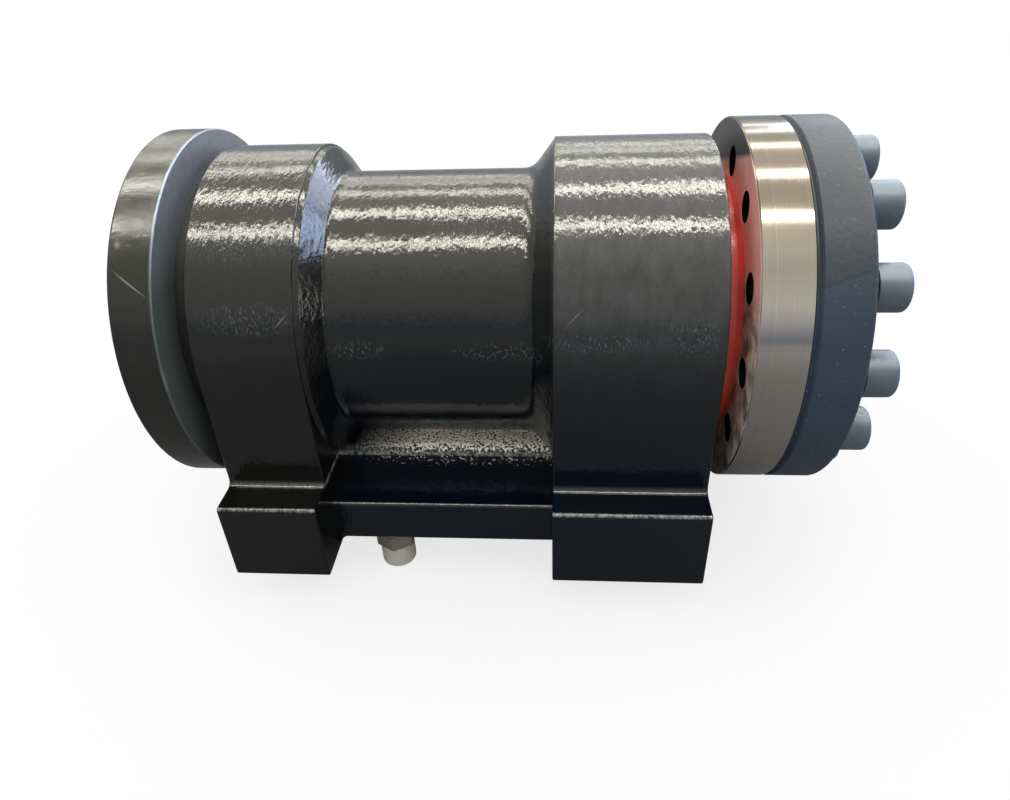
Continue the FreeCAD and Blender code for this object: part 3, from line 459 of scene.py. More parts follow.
def copies_round(pattern, name, turn_each):
    """Copies with their own meshes at each screw place, joined as one piece."""
    made = []
    for index, (y, z) in enumerate(on_circle(SCREW_COUNT, SCREW_CIRCLE)):
        choose(pattern)
        bpy.ops.object.duplicate(linked=False)
        copy = bpy.context.object
        turn = Matrix.Rotation(turn_each(index), 4, "X")
        copy.matrix_world = Matrix.Translation((0, y * MM, z * MM)) @ turn
        apply_place()
        made.append(copy)
    bpy.data.objects.remove(pattern)
    whole = joined(name, made)
    print(name, len(whole.data.polygons), "faces")
    return whole


screws = copies_round(one_screw(), "adapter_screws_oxide", lambda i: math.radians(17.0 * i * i))
washers = copies_round(one_washer(), "spring_washers", lambda i: math.radians(360.0 / SCREW_COUNT * i))

# %% [markdown]
# ## Port fittings
# A hexagon fitting with a protective cap hangs from each oil port under the plate. The hexagon is a
# six-sided cylinder with its top and bottom edges bevelled.

# %% Model the fittings and their caps
SEAL_THICK, HEX_HEIGHT, HEX_WIDTH = 2.0, 14.0, 27.0
HEX_TOP = PLATE_LOW - SEAL_THICK
HEX_LOW = HEX_TOP - HEX_HEIGHT
OIL_BORE, NOSE_RADIUS, NOSE_LENGTH = 4.5, 10.0, 14.0
COLLAR, THREAD_RADIUS, THREAD_TOP = 13.2, 8.3, PLATE_LOW + 13.0
CAP_TOP, CAP_LENGTH, CAP_DEPTH = HEX_LOW - 0.3, 18.0, 14.0
CAP_RADIUS, CAP_NECK, CAP_HOLLOW, NECK_LENGTH = 13.0, 12.2, 10.05, 3.0


def port_fitting(x, y, index):
    body = turned(f"nose_{index}", [
        (HEX_LOW - NOSE_LENGTH, OIL_BORE, 0), (HEX_LOW - NOSE_LENGTH, NOSE_RADIUS, 1),
        (HEX_LOW, NOSE_RADIUS, 0), (HEX_LOW, COLLAR, 0.8), (HEX_TOP, COLLAR, 0.5),
        (HEX_TOP, THREAD_RADIUS, 0), (THREAD_TOP, THREAD_RADIUS, 0.8), (THREAD_TOP, OIL_BORE, 0),
    ], segments=48, centre=(x, y, 0), upright=True)
    cylinder(HEX_WIDTH / math.sqrt(3), HEX_HEIGHT - 1, (x, y, HEX_LOW + HEX_HEIGHT / 2), vertices=6)
    hexagon = start(f"hexagon_{index}")
    pick("EDGE", lambda p, d: abs(d.z) < 0.1)
    bevel(0.8, 2)
    choose(hexagon)
    apply_place()
    combine(hexagon, [cylinder(6, 60, (x, y, HEX_LOW))], "DIFFERENCE")
    combine(body, [hexagon], "UNION")
    return finish_mesh(body)


def port_cap(x, y, index):
    low, hollow_low, neck_low = CAP_TOP - CAP_LENGTH, CAP_TOP - CAP_DEPTH, CAP_TOP - NECK_LENGTH
    cap = turned(f"cap_{index}", [
        (low, NEAR_AXIS, 0), (low, CAP_RADIUS, 1.6), (neck_low, CAP_RADIUS, 0.3), (neck_low, CAP_NECK, 0.3),
        (CAP_TOP, CAP_NECK, 0.5), (CAP_TOP, CAP_HOLLOW, 0.3), (hollow_low, CAP_HOLLOW, 0),
        (hollow_low, NEAR_AXIS, 0),
    ], segments=64, centre=(x, y, 0), upright=True)
    return finish_mesh(cap)


fittings = joined("port_fittings_plated", [port_fitting(x, y, i) for i, (x, y) in enumerate(port_places)])
caps = joined("port_caps_moulded", [port_cap(x, y, i) for i, (x, y) in enumerate(port_places)])


# %% [markdown]
# ## Helpers for materials
# A colour is picked on screen as an sRGB hex value, but the shader wants linear light, so one function
# turns it. One more function adds a node with its settings and its links. Each finish starts from the
# texture's place on the object and ends in one Principled shader. Where a share falls instead of
# rising, the first number of its From pair is the larger one.

# %% Helpers for materials
def linear(code):
    """Linear colour of an sRGB hex value such as "1a1b1c"."""
    values = [int(code[i:i + 2], 16) / 255 for i in (0, 2, 4)]
    return tuple(v / 12.92 if v <= 0.04045 else ((v + 0.055) / 1.055) ** 2.4 for v in values) + (1.0,)


def add(tree, kind, settings=None, links=None):
    """One node. Settings go to its inputs or properties, and From and To pairs to a Map Range's ends.
    Links come from sockets, or from a node's first output in use."""
    node = tree.nodes.new("ShaderNode" + kind)
    for key, value in (settings or {}).items():
        if key in ("From", "To"):
            for end, number in zip((" Min", " Max"), value):
                node.inputs[key + end].default_value = number
        elif isinstance(key, int) or key in node.inputs:
            node.inputs[key].default_value = value
        else:
            setattr(node, key, value)
    for key, source in (links or {}).items():
        if isinstance(source, bpy.types.Node):
            source = next(socket for socket in source.outputs if socket.enabled)
        tree.links.new(source, node.inputs[key])
    return node


def new_finish(name):
    """A new material, its empty tree, and the texture's place on the object."""
    material = bpy.data.materials.new(name)
    material.use_nodes = True
    tree = material.node_tree
    tree.nodes.clear()
    return material, tree, add(tree, "TexCoord").outputs["Object"]


def close_finish(material, tree, settings, links):
    """End a finish in one Principled shader."""
    shader = add(tree, "BsdfPrincipled", settings, links)
    add(tree, "OutputMaterial", links={"Surface": shader})
    print(material.name, len(tree.nodes), "nodes")


def round_shaft(tree, place):
    """Place as (x, distance from the shaft, 0), for marks that run round like a lathe's, and as x, y, z."""
    centred = add(tree, "Mapping", {"Location": (0, 0, -AXIS * MM), "Scale": (0, 1, 1)}, {"Vector": place})
    distance = add(tree, "VectorMath", {"operation": "LENGTH"}, {0: centred})
    along = add(tree, "SeparateXYZ", links={0: place})
    return add(tree, "CombineXYZ", links={"X": along, "Y": distance}), along


def spots(tree, place, eggs):
    """Share that is 1 in the middle of each (centre, half sizes) egg in mm and fades to 0 at its edge."""
    share = None
    for centre, size in eggs:
        apart = add(tree, "VectorMath", {"operation": "SUBTRACT", 1: [v * MM for v in centre]}, {0: place})
        apart = add(tree, "VectorMath", {"operation": "DIVIDE", 1: [v * MM for v in size]}, {0: apart})
        far = add(tree, "VectorMath", {"operation": "LENGTH"}, {0: apart})
        egg = add(tree, "MapRange", {"From": (1.0, 0.3)}, {0: far})
        share = add(tree, "Math", {"operation": "MAXIMUM"}, {0: share, 1: egg}) if share else egg
    return share


def band(tree, value, rise, fall, least=0.0):
    """Share that goes up from the least to 1 over one stretch (mm), and back down over another."""
    share = None
    for start_at, end_at in (rise, fall[::-1]):
        side = add(tree, "MapRange", {"From": (start_at * MM, end_at * MM), "To": (least, 1)}, {0: value})
        share = add(tree, "Math", {"operation": "MULTIPLY"}, {0: share, 1: side}) if share else side
    return share


# %% [markdown]
# ## Black enamel over cast steel
# The housing is sand-cast steel under a thick coat of black gloss enamel, brushed and flowed on. The
# coat is smooth as glass, so lamps show in it as sharp lines, but it follows the casting below: long
# swells bend the lines, ripples tear their edges, and where the coat is thin the grain of the sand
# glitters. So the colour is nearly black, and the work is in a stack of bumps, a little dust, and some
# painted sheen, glints, highlights and shade in the colour.

# %% Enamel material
enamel, tree, place = new_finish("black_gloss_enamel")
ring_place, along = round_shaft(tree, place)
depth, height = along.outputs["Y"], along.outputs["Z"]
longer = add(tree, "Mapping", {"Scale": (0.4, 1, 1)}, {"Vector": place})
shorter = add(tree, "Mapping", {"Scale": (2.2, 1, 1)}, {"Vector": place})

# Swells 110 mm long bend the lamps. Ripples of 3 by 6 mm, drawn out round the shaft as the brush went,
# tear their edges. They are a little weaker on the rear cone and on the front block.
swell = add(tree, "TexNoise", {"Scale": 1 / 0.045, "Detail": 1.0}, {"Vector": longer})
ripple = add(tree, "TexNoise", {"Scale": 1 / 0.006, "Detail": 4.0, "Roughness": 0.55}, {"Vector": shorter})
position = add(tree, "MapRange", {"From": (REAR_FACE * MM, FRONT_FACE * MM)}, {0: along})
ripple_share = add(tree, "ValToRGB", links={0: position})
ramp = ripple_share.color_ramp.elements
for x, share in ((-92, 0.42), (-89, 0.36), (-77, 0.36), (-73, 0.42), (70, 0.42), (76, 0.38)):
    stop = ramp.new((x - REAR_FACE) / (FRONT_FACE - REAR_FACE))
    stop.color = (share, share, share, 1)
ramp[0].color = (0.42, 0.42, 0.42, 1)
ramp[-1].color = (0.38, 0.38, 0.38, 1)
ripple_height = add(tree, "Math", {"operation": "MULTIPLY"}, {0: ripple, 1: ripple_share})

# Sand grain of 1 to 3 mm, only in patches where the coat is thin or rubbed.
grain = add(tree, "TexNoise", {"Scale": 1 / 0.0026, "Detail": 2.0}, {"Vector": shorter})
thin_coat = add(tree, "TexNoise", {"Scale": 1 / 0.05, "Detail": 2.0}, {"Vector": place})
thin_share = add(tree, "MapRange", {"From": (0.48, 0.62), "To": (0.15, 0.6)}, {0: thin_coat})
rubbed = spots(tree, place, (
    ((40, -98, 162), (38, 30, 8)), ((-56, -97, 163), (24, 25, 8)), ((157, -115, 182), (22, 25, 15)),
    ((100, -116, 178), (45, 25, 7)), ((-120, -111, 192), (40, 25, 13)), ((32, -52, 232), (42, 40, 15)),
    ((-125, -84, 233), (40, 30, 13)), ((167, -84, 236), (12, 30, 12)),
))
grain_share = add(tree, "Math", {"operation": "MAXIMUM"}, {0: thin_share, 1: rubbed})
grain_height = add(tree, "Math", {"operation": "MULTIPLY"}, {0: grain, 1: grain_share})

# Marks of the roughing tool under the coat run round the shaft, strongest in the front neck. They are
# as fine as the picture's own pixels, so they blur the lamps more than they show.
tool_marks = add(tree, "TexNoise", {"Scale": 1 / 0.0016, "Detail": 2.0}, {"Vector": ring_place})
neck_share = band(tree, along, (FRONT_SHOULDER - 22, FRONT_SHOULDER - 12),
                  (FRONT_SHOULDER - 1, FRONT_SHOULDER + 2), least=0.12)
mark_height = add(tree, "Math", {"operation": "MULTIPLY"}, {0: tool_marks, 1: neck_share})

# The shelf under the tube is raw cast surface below its coat, coarse as gravel.
shelf_side, shelf_out = SHELF_HALF + 0.5, SHELF_HALF + 1.5
shelf_width = band(tree, depth, (-shelf_out, -shelf_side), (shelf_side, shelf_out))
shelf_share = band(tree, height, (SHELF_TOP - 18, SHELF_TOP - 10), (SHELF_TOP + 0.2, SHELF_TOP + 1.2))
shelf_share = add(tree, "Math", {"operation": "MULTIPLY"}, {0: shelf_share, 1: shelf_width})
gravel = add(tree, "TexNoise", {"Scale": 1 / 0.0018, "Detail": 3.0, "Roughness": 0.6}, {"Vector": place})
gravel_height = add(tree, "Math", {"operation": "MULTIPLY"}, {0: gravel, 1: shelf_share})

# The bumps lie one on another, each with its own depth in millimetres.
bump = None
for relief, deep in ((swell, 0.8), (ripple_height, 0.9), (grain_height, 0.09), (mark_height, 0.05),
                     (gravel_height, 0.9)):
    below = {"Normal": bump} if bump else {}
    bump = add(tree, "Bump", {"Distance": deep * MM}, {"Height": relief, **below})

stain = add(tree, "TexNoise", {"Scale": 1 / 0.03, "Detail": 4.0}, {"Vector": place})
tone = add(tree, "Mix", {"data_type": "RGBA", 6: linear("090c0e"), 7: linear("13130f")}, {0: stain})

# A thin haze of dust lies in blotches on the front block, and with it painted sheen: the colour is lightened
# most at its top, where the light falls.
front_part = add(tree, "MapRange", {"From": ((FRONT_SHOULDER - 2) * MM, (FRONT_SHOULDER + 4) * MM),
                                    "To": (0.12, 1)}, {0: along})
lit_top = add(tree, "MapRange", {"From": (0.080, 0.268)}, {0: height})
lit_top = add(tree, "Math", {"operation": "POWER", 1: 1.7}, {0: lit_top})
wider = add(tree, "Mapping", {"Scale": (0.8, 0.4, 0.4)}, {"Vector": place})
blotch = add(tree, "TexNoise", {"Scale": 1 / 0.007, "Detail": 6.0, "Roughness": 0.65}, {"Vector": wider})
blotch = add(tree, "MapRange", {"From": (0.3, 0.7), "To": (0.4, 0.95)}, {0: blotch})
dust_and_sheen = front_part
for share in (lit_top, blotch):
    dust_and_sheen = add(tree, "Math", {"operation": "MULTIPLY"}, {0: dust_and_sheen, 1: share})

# Forward of the rear ring, below the middle, the coat's colour carries a painted bluish shade.
low = add(tree, "MapRange", {"From": (0.20, 0.10)}, {0: height})
forward = add(tree, "MapRange", {"From": ((REAR_SHOULDER - 5) * MM, (REAR_SHOULDER + 15) * MM)}, {0: along})
painted_blue_shade = add(tree, "Math", {"operation": "MULTIPLY"}, {0: low, 1: forward})

# Where the coat is rubbed, the grain shows as pale specks, partly worn grain and partly painted glints.
rubbed_speck_and_glint = add(tree, "MapRange", {"From": (0.53, 0.68), "To": (0, 0.35)}, {0: grain})
rubbed_speck_and_glint = add(tree, "Math", {"operation": "MULTIPLY"}, {0: rubbed_speck_and_glint, 1: rubbed})

# The pale specks of the shelf are dust and painted glints, thick on its top and thin on its round front.
# They fade out to the rear as painted shade of the rear ring.
shelf_dust_and_glint_level = add(tree, "MapRange", {"From": ((SHELF_TOP - 6) * MM, (SHELF_TOP - 0.2) * MM),
                                    "To": (-0.15, 0.02)}, {0: height})
shelf_dust_and_glint = add(tree, "Math", {"operation": "ADD"}, {0: gravel, 1: shelf_dust_and_glint_level})
shelf_dust_and_glint = add(tree, "MapRange", {"From": (0.45, 0.51)}, {0: shelf_dust_and_glint})
out_of_painted_rear_shade = add(tree, "MapRange", {"From": (-0.078, -0.024)}, {0: along})
for share in (shelf_share, out_of_painted_rear_shade):
    shelf_dust_and_glint = add(tree, "Math", {"operation": "MULTIPLY"}, {0: shelf_dust_and_glint, 1: share})

# Painted highlights lie in broken streaks along the edges of the ledges, 11 to 12.5 mm to each side of their
# middle.
LEDGE_MIDDLE = (REAR_RADIUS + FOOT_HALF) / 2
painted_ledge_highlight = band(tree, height, (FOOT_HEIGHT - 2.2, FOOT_HEIGHT - 1), (FOOT_HEIGHT + 0.5, FOOT_HEIGHT + 2.5))
from_middle = add(tree, "Math", {"operation": "ABSOLUTE"}, {0: depth})
from_middle = add(tree, "Math", {"operation": "SUBTRACT", 1: LEDGE_MIDDLE * MM}, {0: from_middle})
from_middle = add(tree, "Math", {"operation": "ABSOLUTE"}, {0: from_middle})
ledge_out = add(tree, "MapRange", {"From": (0.0108, 0.0125)}, {0: from_middle})
streak = add(tree, "MapRange", {"From": (0.36, 0.62)}, {0: ripple})
for share in (ledge_out, streak):
    painted_ledge_highlight = add(tree, "Math", {"operation": "MULTIPLY"}, {0: painted_ledge_highlight, 1: share})

# Handling has left a few nicks, which lie slanted: their third place is measured across the slant.
across = add(tree, "VectorMath", {"operation": "DOT_PRODUCT", 1: (-0.94, 0, 1)}, {0: place})
nick_place = add(tree, "CombineXYZ", links={"X": along, "Y": depth, "Z": across})
nicks = spots(tree, nick_place, (
    ((127, -83, 116.6), (5, 9, 1.2)), ((-98, -111, 283.3), (6, 7, 0.9)), ((86, -111, 112.8), (7, 8, 0.7)),
))
nicks = add(tree, "MapRange", {"To": (0, 0.4)}, {0: nicks})

# All these, dust, wear and painted light alike, are mixed into the coat's colour one over another, each with
# its colour.
for colour, share in (("626366", dust_and_sheen), ("030c18", painted_blue_shade), ("858a90", rubbed_speck_and_glint), ("fff8e8", shelf_dust_and_glint),
                      ("92918b", painted_ledge_highlight), ("9c9b97", nicks)):
    tone = add(tree, "Mix", {"data_type": "RGBA", 7: linear(colour)}, {0: share, 6: tone})
gloss = add(tree, "MapRange", {"From": (0.35, 0.7), "To": (0.05, 0.11)}, {0: stain})
close_finish(enamel, tree, {"Metallic": 0.0, "IOR": 1.46},
             {"Base Color": tone, "Roughness": gloss, "Normal": bump})
housing.data.materials.append(enamel)

# %% [markdown]
# ## Enamel on the end cap
# The end cap is turned, then brushed with the same black. Its rim took a thick, streaky coat. The face
# towards the housing got only a thin one, so the rings of the lathe tool and the grey steel show through
# and it looks like gunmetal.

# %% End cap material
cap_enamel, tree, place = new_finish("brushed_black_enamel")
ring_place, along = round_shaft(tree, place)
on_face = add(tree, "MapRange", {"From": ((CAP_INNER - 1.6) * MM, (CAP_INNER - 0.4) * MM)}, {0: along})
brushed = add(tree, "Mapping", {"Scale": (0.7, 1, 1)}, {"Vector": place})
strokes = add(tree, "TexNoise", {"Scale": 1 / 0.005, "Detail": 4.0, "Roughness": 0.6}, {"Vector": brushed})
rings = add(tree, "TexNoise", {"Scale": 1 / 0.0012, "Detail": 2.0}, {"Vector": ring_place})
cloud = add(tree, "TexNoise", {"Scale": 1 / 0.03, "Detail": 3.0}, {"Vector": place})
rim_tone = add(tree, "Mix", {"data_type": "RGBA", 6: linear("12130f"), 7: linear("201f1a")}, {0: cloud})

# Towards the top of the face the colour is painted paler, in brush strokes, as painted light falling from
# above.
lit_top = add(tree, "MapRange", {"From": (0.205, 0.262)}, {0: along.outputs["Z"]})
stroke_share = add(tree, "MapRange", {"From": (0.3, 0.7), "To": (0.75, 1.1)}, {0: strokes})
lit_top = add(tree, "Math", {"operation": "MULTIPLY"}, {0: lit_top, 1: stroke_share})
low_tone = add(tree, "Mix", {"data_type": "RGBA", 6: linear("566060"), 7: linear("707a79")}, {0: rings})
face_tone = add(tree, "Mix", {"data_type": "RGBA", 7: linear("9ea6b8")}, {0: lit_top, 6: low_tone})
tone = add(tree, "Mix", {"data_type": "RGBA"}, {0: on_face, 6: rim_tone, 7: face_tone})

# Handling has chipped the coat: a light spot on the rim, a worn length of its inner edge, and a long
# scratch that runs slanted across the rim.
worn = spots(tree, place, (((-196.3, -96.4, 237.2), (2.5, 4, 3)), ((-173.5, -129.6, 160.0), (2.2, 6, 13))))
worn = add(tree, "MapRange", {"To": (0, 0.6)}, {0: worn})
across = add(tree, "VectorMath", {"operation": "DOT_PRODUCT", 1: (0.665, 0, 1)}, {0: place})
scratch_place = add(tree, "CombineXYZ", links={"X": along, "Y": along.outputs["Y"], "Z": across})
scratch = spots(tree, scratch_place, (((-188, -111, 92.4), (13, 12, 0.8)),))
worn = add(tree, "Math", {"operation": "MAXIMUM"}, {0: worn, 1: scratch})
tone = add(tree, "Mix", {"data_type": "RGBA", 7: linear("8f8b80")}, {0: worn, 6: tone})
metal = add(tree, "MapRange", {"To": (0, 0.35)}, {0: on_face})
rim_gloss = add(tree, "MapRange", {"From": (0.35, 0.65), "To": (0.15, 0.30)}, {0: cloud})
gloss = add(tree, "Mix", {"data_type": "FLOAT", 3: 0.36}, {0: on_face, 2: rim_gloss})
bump = add(tree, "Bump", {"Distance": 0.22 * MM}, {"Height": strokes})
bump = add(tree, "Bump", {"Distance": 0.03 * MM}, {"Height": rings, "Normal": bump})
close_finish(cap_enamel, tree, {"IOR": 1.46},
             {"Base Color": tone, "Metallic": metal, "Roughness": gloss, "Normal": bump})
end_cap.data.materials.append(cap_enamel)

# %% [markdown]
# ## Slate paint on the adapter disc
# The adapter is sprayed in a satin blue-black over turned steel. It scatters the lamps to an even sheen,
# weaker than a clean coat's, so its specular level is below the default. A crease crosses its rim, and
# above it the tone is greyer. A few crumbs of dust stand in the coat.

# %% Adapter material
slate, tree, place = new_finish("satin_slate_paint")
ring_place, along = round_shaft(tree, place)
peel = add(tree, "TexNoise", {"Scale": 1 / 0.004, "Detail": 2.0}, {"Vector": place})
cloud = add(tree, "TexNoise", {"Scale": 1 / 0.035, "Detail": 4.0}, {"Vector": place})
rings = add(tree, "TexNoise", {"Scale": 1 / 0.0015, "Detail": 1.0}, {"Vector": ring_place})
tone = add(tree, "Mix", {"data_type": "RGBA", 6: linear("2a3a4a"), 7: linear("3b4c5f")}, {0: cloud})

# The crease is a slanted line, bent a little by a noise, and the greyer tone above it keeps off the front
# face.
above = add(tree, "VectorMath", {"operation": "DOT_PRODUCT", 1: (-0.28, 0, 1)}, {0: place})
bent = add(tree, "TexNoise", {"Scale": 1 / 0.02, "Detail": 2.0}, {"Vector": place})
above = add(tree, "Math", {"operation": "MULTIPLY_ADD", 1: 0.006}, {0: bent, 2: above})
upper_share = add(tree, "MapRange", {"From": (0.1522, 0.1540), "To": (0, 0.6)}, {0: above})
on_rim = add(tree, "MapRange", {"From": ((ADAPTER_FACE - 0.8) * MM, (ADAPTER_FACE - 2.5) * MM)}, {0: along})
upper_share = add(tree, "Math", {"operation": "MULTIPLY"}, {0: upper_share, 1: on_rim})
tone = add(tree, "Mix", {"data_type": "RGBA", 7: linear("383c41")}, {0: upper_share, 6: tone})
crumb = add(tree, "TexNoise", {"Scale": 1 / 0.0022, "Detail": 2.0}, {"Vector": place})
crumb = add(tree, "MapRange", {"From": (0.69, 0.75), "To": (0, 0.45)}, {0: crumb})
tone = add(tree, "Mix", {"data_type": "RGBA", 7: linear("9aa0a4")}, {0: crumb, 6: tone})
gloss = add(tree, "MapRange", {"From": (0.35, 0.65), "To": (0.44, 0.56)}, {0: cloud})
bump = add(tree, "Bump", {"Distance": 0.25 * MM}, {"Height": peel})
bump = add(tree, "Bump", {"Distance": 0.4 * MM}, {"Height": upper_share, "Normal": bump})
bump = add(tree, "Bump", {"Distance": 0.01 * MM}, {"Height": rings, "Normal": bump})
close_finish(slate, tree, {"Metallic": 0.0, "IOR": 1.45, "Specular IOR Level": 0.32},
             {"Base Color": tone, "Roughness": gloss, "Normal": bump})
adapter.data.materials.append(slate)

# %% [markdown]
# ## Turned steel of the shaft flange
# The rim of the flange is bare turned steel. The tool leaves fine grooves round it, which draw each lamp
# into a band along the shaft but keep it sharp across. The inner face, next to the red dust ring, is
# covered by an oil film with a haze of red primer, and its colour also carries painted reflection and
# sheen. Behind it the shaft is plain steel.

# %% Shaft material
FLANGE_INNER = 192.0
turned_steel, tree, place = new_finish("turned_shaft_steel")
ring_place, along = round_shaft(tree, place)
height = along.outputs["Z"]
grooves = add(tree, "TexNoise", {"Scale": 1 / 0.0007, "Detail": 2.0, "Roughness": 0.6},
              {"Vector": ring_place})
cloud = add(tree, "TexNoise", {"Scale": 1 / 0.025, "Detail": 3.0}, {"Vector": place})
smears = add(tree, "TexNoise", {"Scale": 1 / 0.014, "Detail": 5.0, "Roughness": 0.6}, {"Vector": place})
on_face = band(tree, along, (FLANGE_INNER - 1.5, FLANGE_INNER - 1), (FLANGE_INNER + 0.1, FLANGE_INNER + 0.3))

# The top of the rim is darker and a little rougher than the bare side, and each groove has its own tone.
side_tone = add(tree, "Mix", {"data_type": "RGBA", 6: linear("9c9590"), 7: linear("b9b1ab")}, {0: grooves})
top_tone = add(tree, "Mix", {"data_type": "RGBA", 6: linear("605a54"), 7: linear("736c65")}, {0: grooves})
upper_share = add(tree, "MapRange", {"From": (0.205, 0.250)}, {0: height})
rim_tone = add(tree, "Mix", {"data_type": "RGBA"}, {0: upper_share, 6: side_tone, 7: top_tone})

# The inner face: a painted dark reflection at the top, primer haze with a painted reflection of the red ring
# at the side, and streaked brown oil with painted sheen below.
primer_and_red_reflection = add(tree, "Mix", {"data_type": "RGBA", 6: linear("d98b84"), 7: linear("ffc6bd")}, {0: smears})
streaky = add(tree, "MapRange", {"From": (0.40, 0.60)}, {0: smears})
oil_and_sheen = add(tree, "Mix", {"data_type": "RGBA", 6: linear("6b5f57"), 7: linear("d0c2b2")}, {0: streaky})
lower_share = add(tree, "MapRange", {"From": (0.215, 0.185)}, {0: height})
face_tone = add(tree, "Mix", {"data_type": "RGBA"}, {0: lower_share, 6: primer_and_red_reflection, 7: oil_and_sheen})
leaning = add(tree, "VectorMath", {"operation": "DOT_PRODUCT", 1: (0, 0.3, 1)}, {0: place})
painted_dark_reflection = add(tree, "MapRange", {"From": (0.254, 0.258)}, {0: leaning})
face_tone = add(tree, "Mix", {"data_type": "RGBA", 7: linear("3e4144")}, {0: painted_dark_reflection, 6: face_tone})
tone = add(tree, "Mix", {"data_type": "RGBA"}, {0: on_face, 6: rim_tone, 7: face_tone})
metal = add(tree, "MapRange", {"To": (1.0, 0.2)}, {0: on_face})
gloss = add(tree, "MapRange", {"From": (0.3, 0.7), "To": (0.08, 0.12)}, {0: cloud})
dull = add(tree, "MapRange", {"To": (0, 0.03)}, {0: upper_share})
gloss = add(tree, "Math", {"operation": "ADD"}, {0: gloss, 1: dull})
gloss = add(tree, "Mix", {"data_type": "FLOAT", 3: 0.4}, {0: on_face, 2: gloss})
bump = add(tree, "Bump", {"Distance": 0.06 * MM}, {"Height": grooves})
close_finish(turned_steel, tree, {},
             {"Base Color": tone, "Metallic": metal, "Roughness": gloss, "Normal": bump})


# %% [markdown]
# ## Steel, oxide, plastic and rubber
# The small pieces need a finish each, but one recipe serves them: a mottled colour between two close
# tones, a roughness that varies with it, and a fine bump. The values that differ are typed per finish.

# %% Small finishes
def plain_finish(name, dark, light, size, roughness, metallic, bump_depth):
    """A finish with mottles of size millimetres, uneven roughness and a fine bump."""
    material, tree, place = new_finish(name)
    mottle = add(tree, "TexNoise", {"Scale": 1 / (size * MM), "Detail": 4.0}, {"Vector": place})
    fine = add(tree, "TexNoise", {"Scale": 8 / (size * MM), "Detail": 2.0}, {"Vector": place})
    tone = add(tree, "Mix", {"data_type": "RGBA", 6: linear(dark), 7: linear(light)}, {0: mottle})
    gloss = add(tree, "MapRange", {"From": (0.3, 0.7), "To": (roughness - 0.06, roughness + 0.06)},
                {0: mottle})
    bump = add(tree, "Bump", {"Distance": bump_depth * MM}, {"Height": fine})
    close_finish(material, tree, {"Metallic": metallic},
                 {"Base Color": tone, "Roughness": gloss, "Normal": bump})
    return material


for piece, *values in (
    (screws, "black_oxide_steel", "515f6d", "677687", 9, 0.45, 0.25, 0.02),
    (washers, "blued_spring_steel", "1e2327", "30363c", 6, 0.40, 0.5, 0.02),
    (dust_ring, "red_polyurethane", "e0473d", "f06054", 12, 0.20, 0.0, 0.02),
    (fittings, "zinc_plated_steel", "a09e92", "bdbaa8", 7, 0.33, 0.85, 0.02),
    (caps, "grey_polyethylene", "c0beae", "d2cfbf", 8, 0.5, 0.0, 0.03),
):
    piece.data.materials.append(plain_finish(*values))

carried = {
    "ring_gear": ("hardened_gear_steel", "8a8884", "a5a39f", 15, 0.3, 1.0, 0.01),
    "ring_gear_pins": ("dowel_steel", "a0a0a0", "bababa", 10, 0.2, 1.0, 0.01),
    "gallery_plugs": ("plug_steel", "3a3b3a", "55564f", 6, 0.4, 0.8, 0.02),
    "piston_sleeve": ("nitrided_iron", "6d6c6a", "85837f", 15, 0.35, 1.0, 0.01),
    "piston_guide_rings": ("filled_guide_resin", "6b4a2c", "7d5835", 8, 0.5, 0.0, 0.02),
    "piston_outer_seal": ("seal_rubber", "161616", "222222", 6, 0.45, 0.0, 0.02),
    "front_thrust_washer": ("thrust_bronze", "9a7440", "b58c52", 12, 0.35, 1.0, 0.01),
    "port_sealing_washers": ("bonded_washer_steel", "77746a", "99968c", 5, 0.4, 0.8, 0.02),
    "end_cap_lock_screws": ("set_screw_oxide", "26282a", "3a3d40", 5, 0.4, 0.7, 0.02),
}
finishes = {node: plain_finish(*values) for node, values in carried.items()}
finishes["output_shaft"] = turned_steel
same = {
    "piston_outer_seal": ("piston_inner_seal", "front_shaft_seal", "rear_shaft_seal", "end_cap_o_ring",
                          "rear_dust_ring"),
    "piston_guide_rings": ("front_guide", "rear_guide"),
    "front_thrust_washer": ("rear_thrust_washer",),
}
for source, others in same.items():
    finishes.update(dict.fromkeys(others, finishes[source]))
for node, finish in finishes.items():
    nodes[node].data.materials.clear()
    nodes[node].data.materials.append(finish)
print("finishes on CAD nodes:", len(finishes))

# %% [markdown]
# ## What moves with what
# Each new piece hides the CAD node that it stands for and rides on that node's body, so it turns with
# the shaft or stays with the housing at every pose.

# %% Tie each piece to its body
dressed = [
    (housing, "housing_body", "housing", "housing_enamel"),
    (end_cap, "output_body", "end_cap", "cap_paint"),
    (adapter, "output_body", "adapter_disc", "adapter_paint"),
    (screws, "output_body", "adapter_screws", "screw_finish"),
    (washers, "output_body", "lock_washers", "screw_finish"),
    (dust_ring, "output_body", "front_dust_ring", "red_polyurethane"),
    (fittings, "housing_body", "port_fittings", "plated_steel"),
    (caps, "housing_body", "port_caps", "cap_plastic"),
]
for piece, body, node, slot in dressed:
    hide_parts(node)
    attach(piece, body)
    print(piece.name, "rides on", body)

# %% [markdown]
# ## Floor, hall light and camera
# The floor is plain and pale, and its glow makes the background white. Soft even light comes from all
# round, so a colour looks about as it is typed. Gloss needs something to mirror, so mirrors see a hall
# instead: a ceiling that is brighter overhead, five long rows of lamps along the shaft, two windows and
# a side door. The camera sees plain white behind the object, and mirrors see a little of that white.

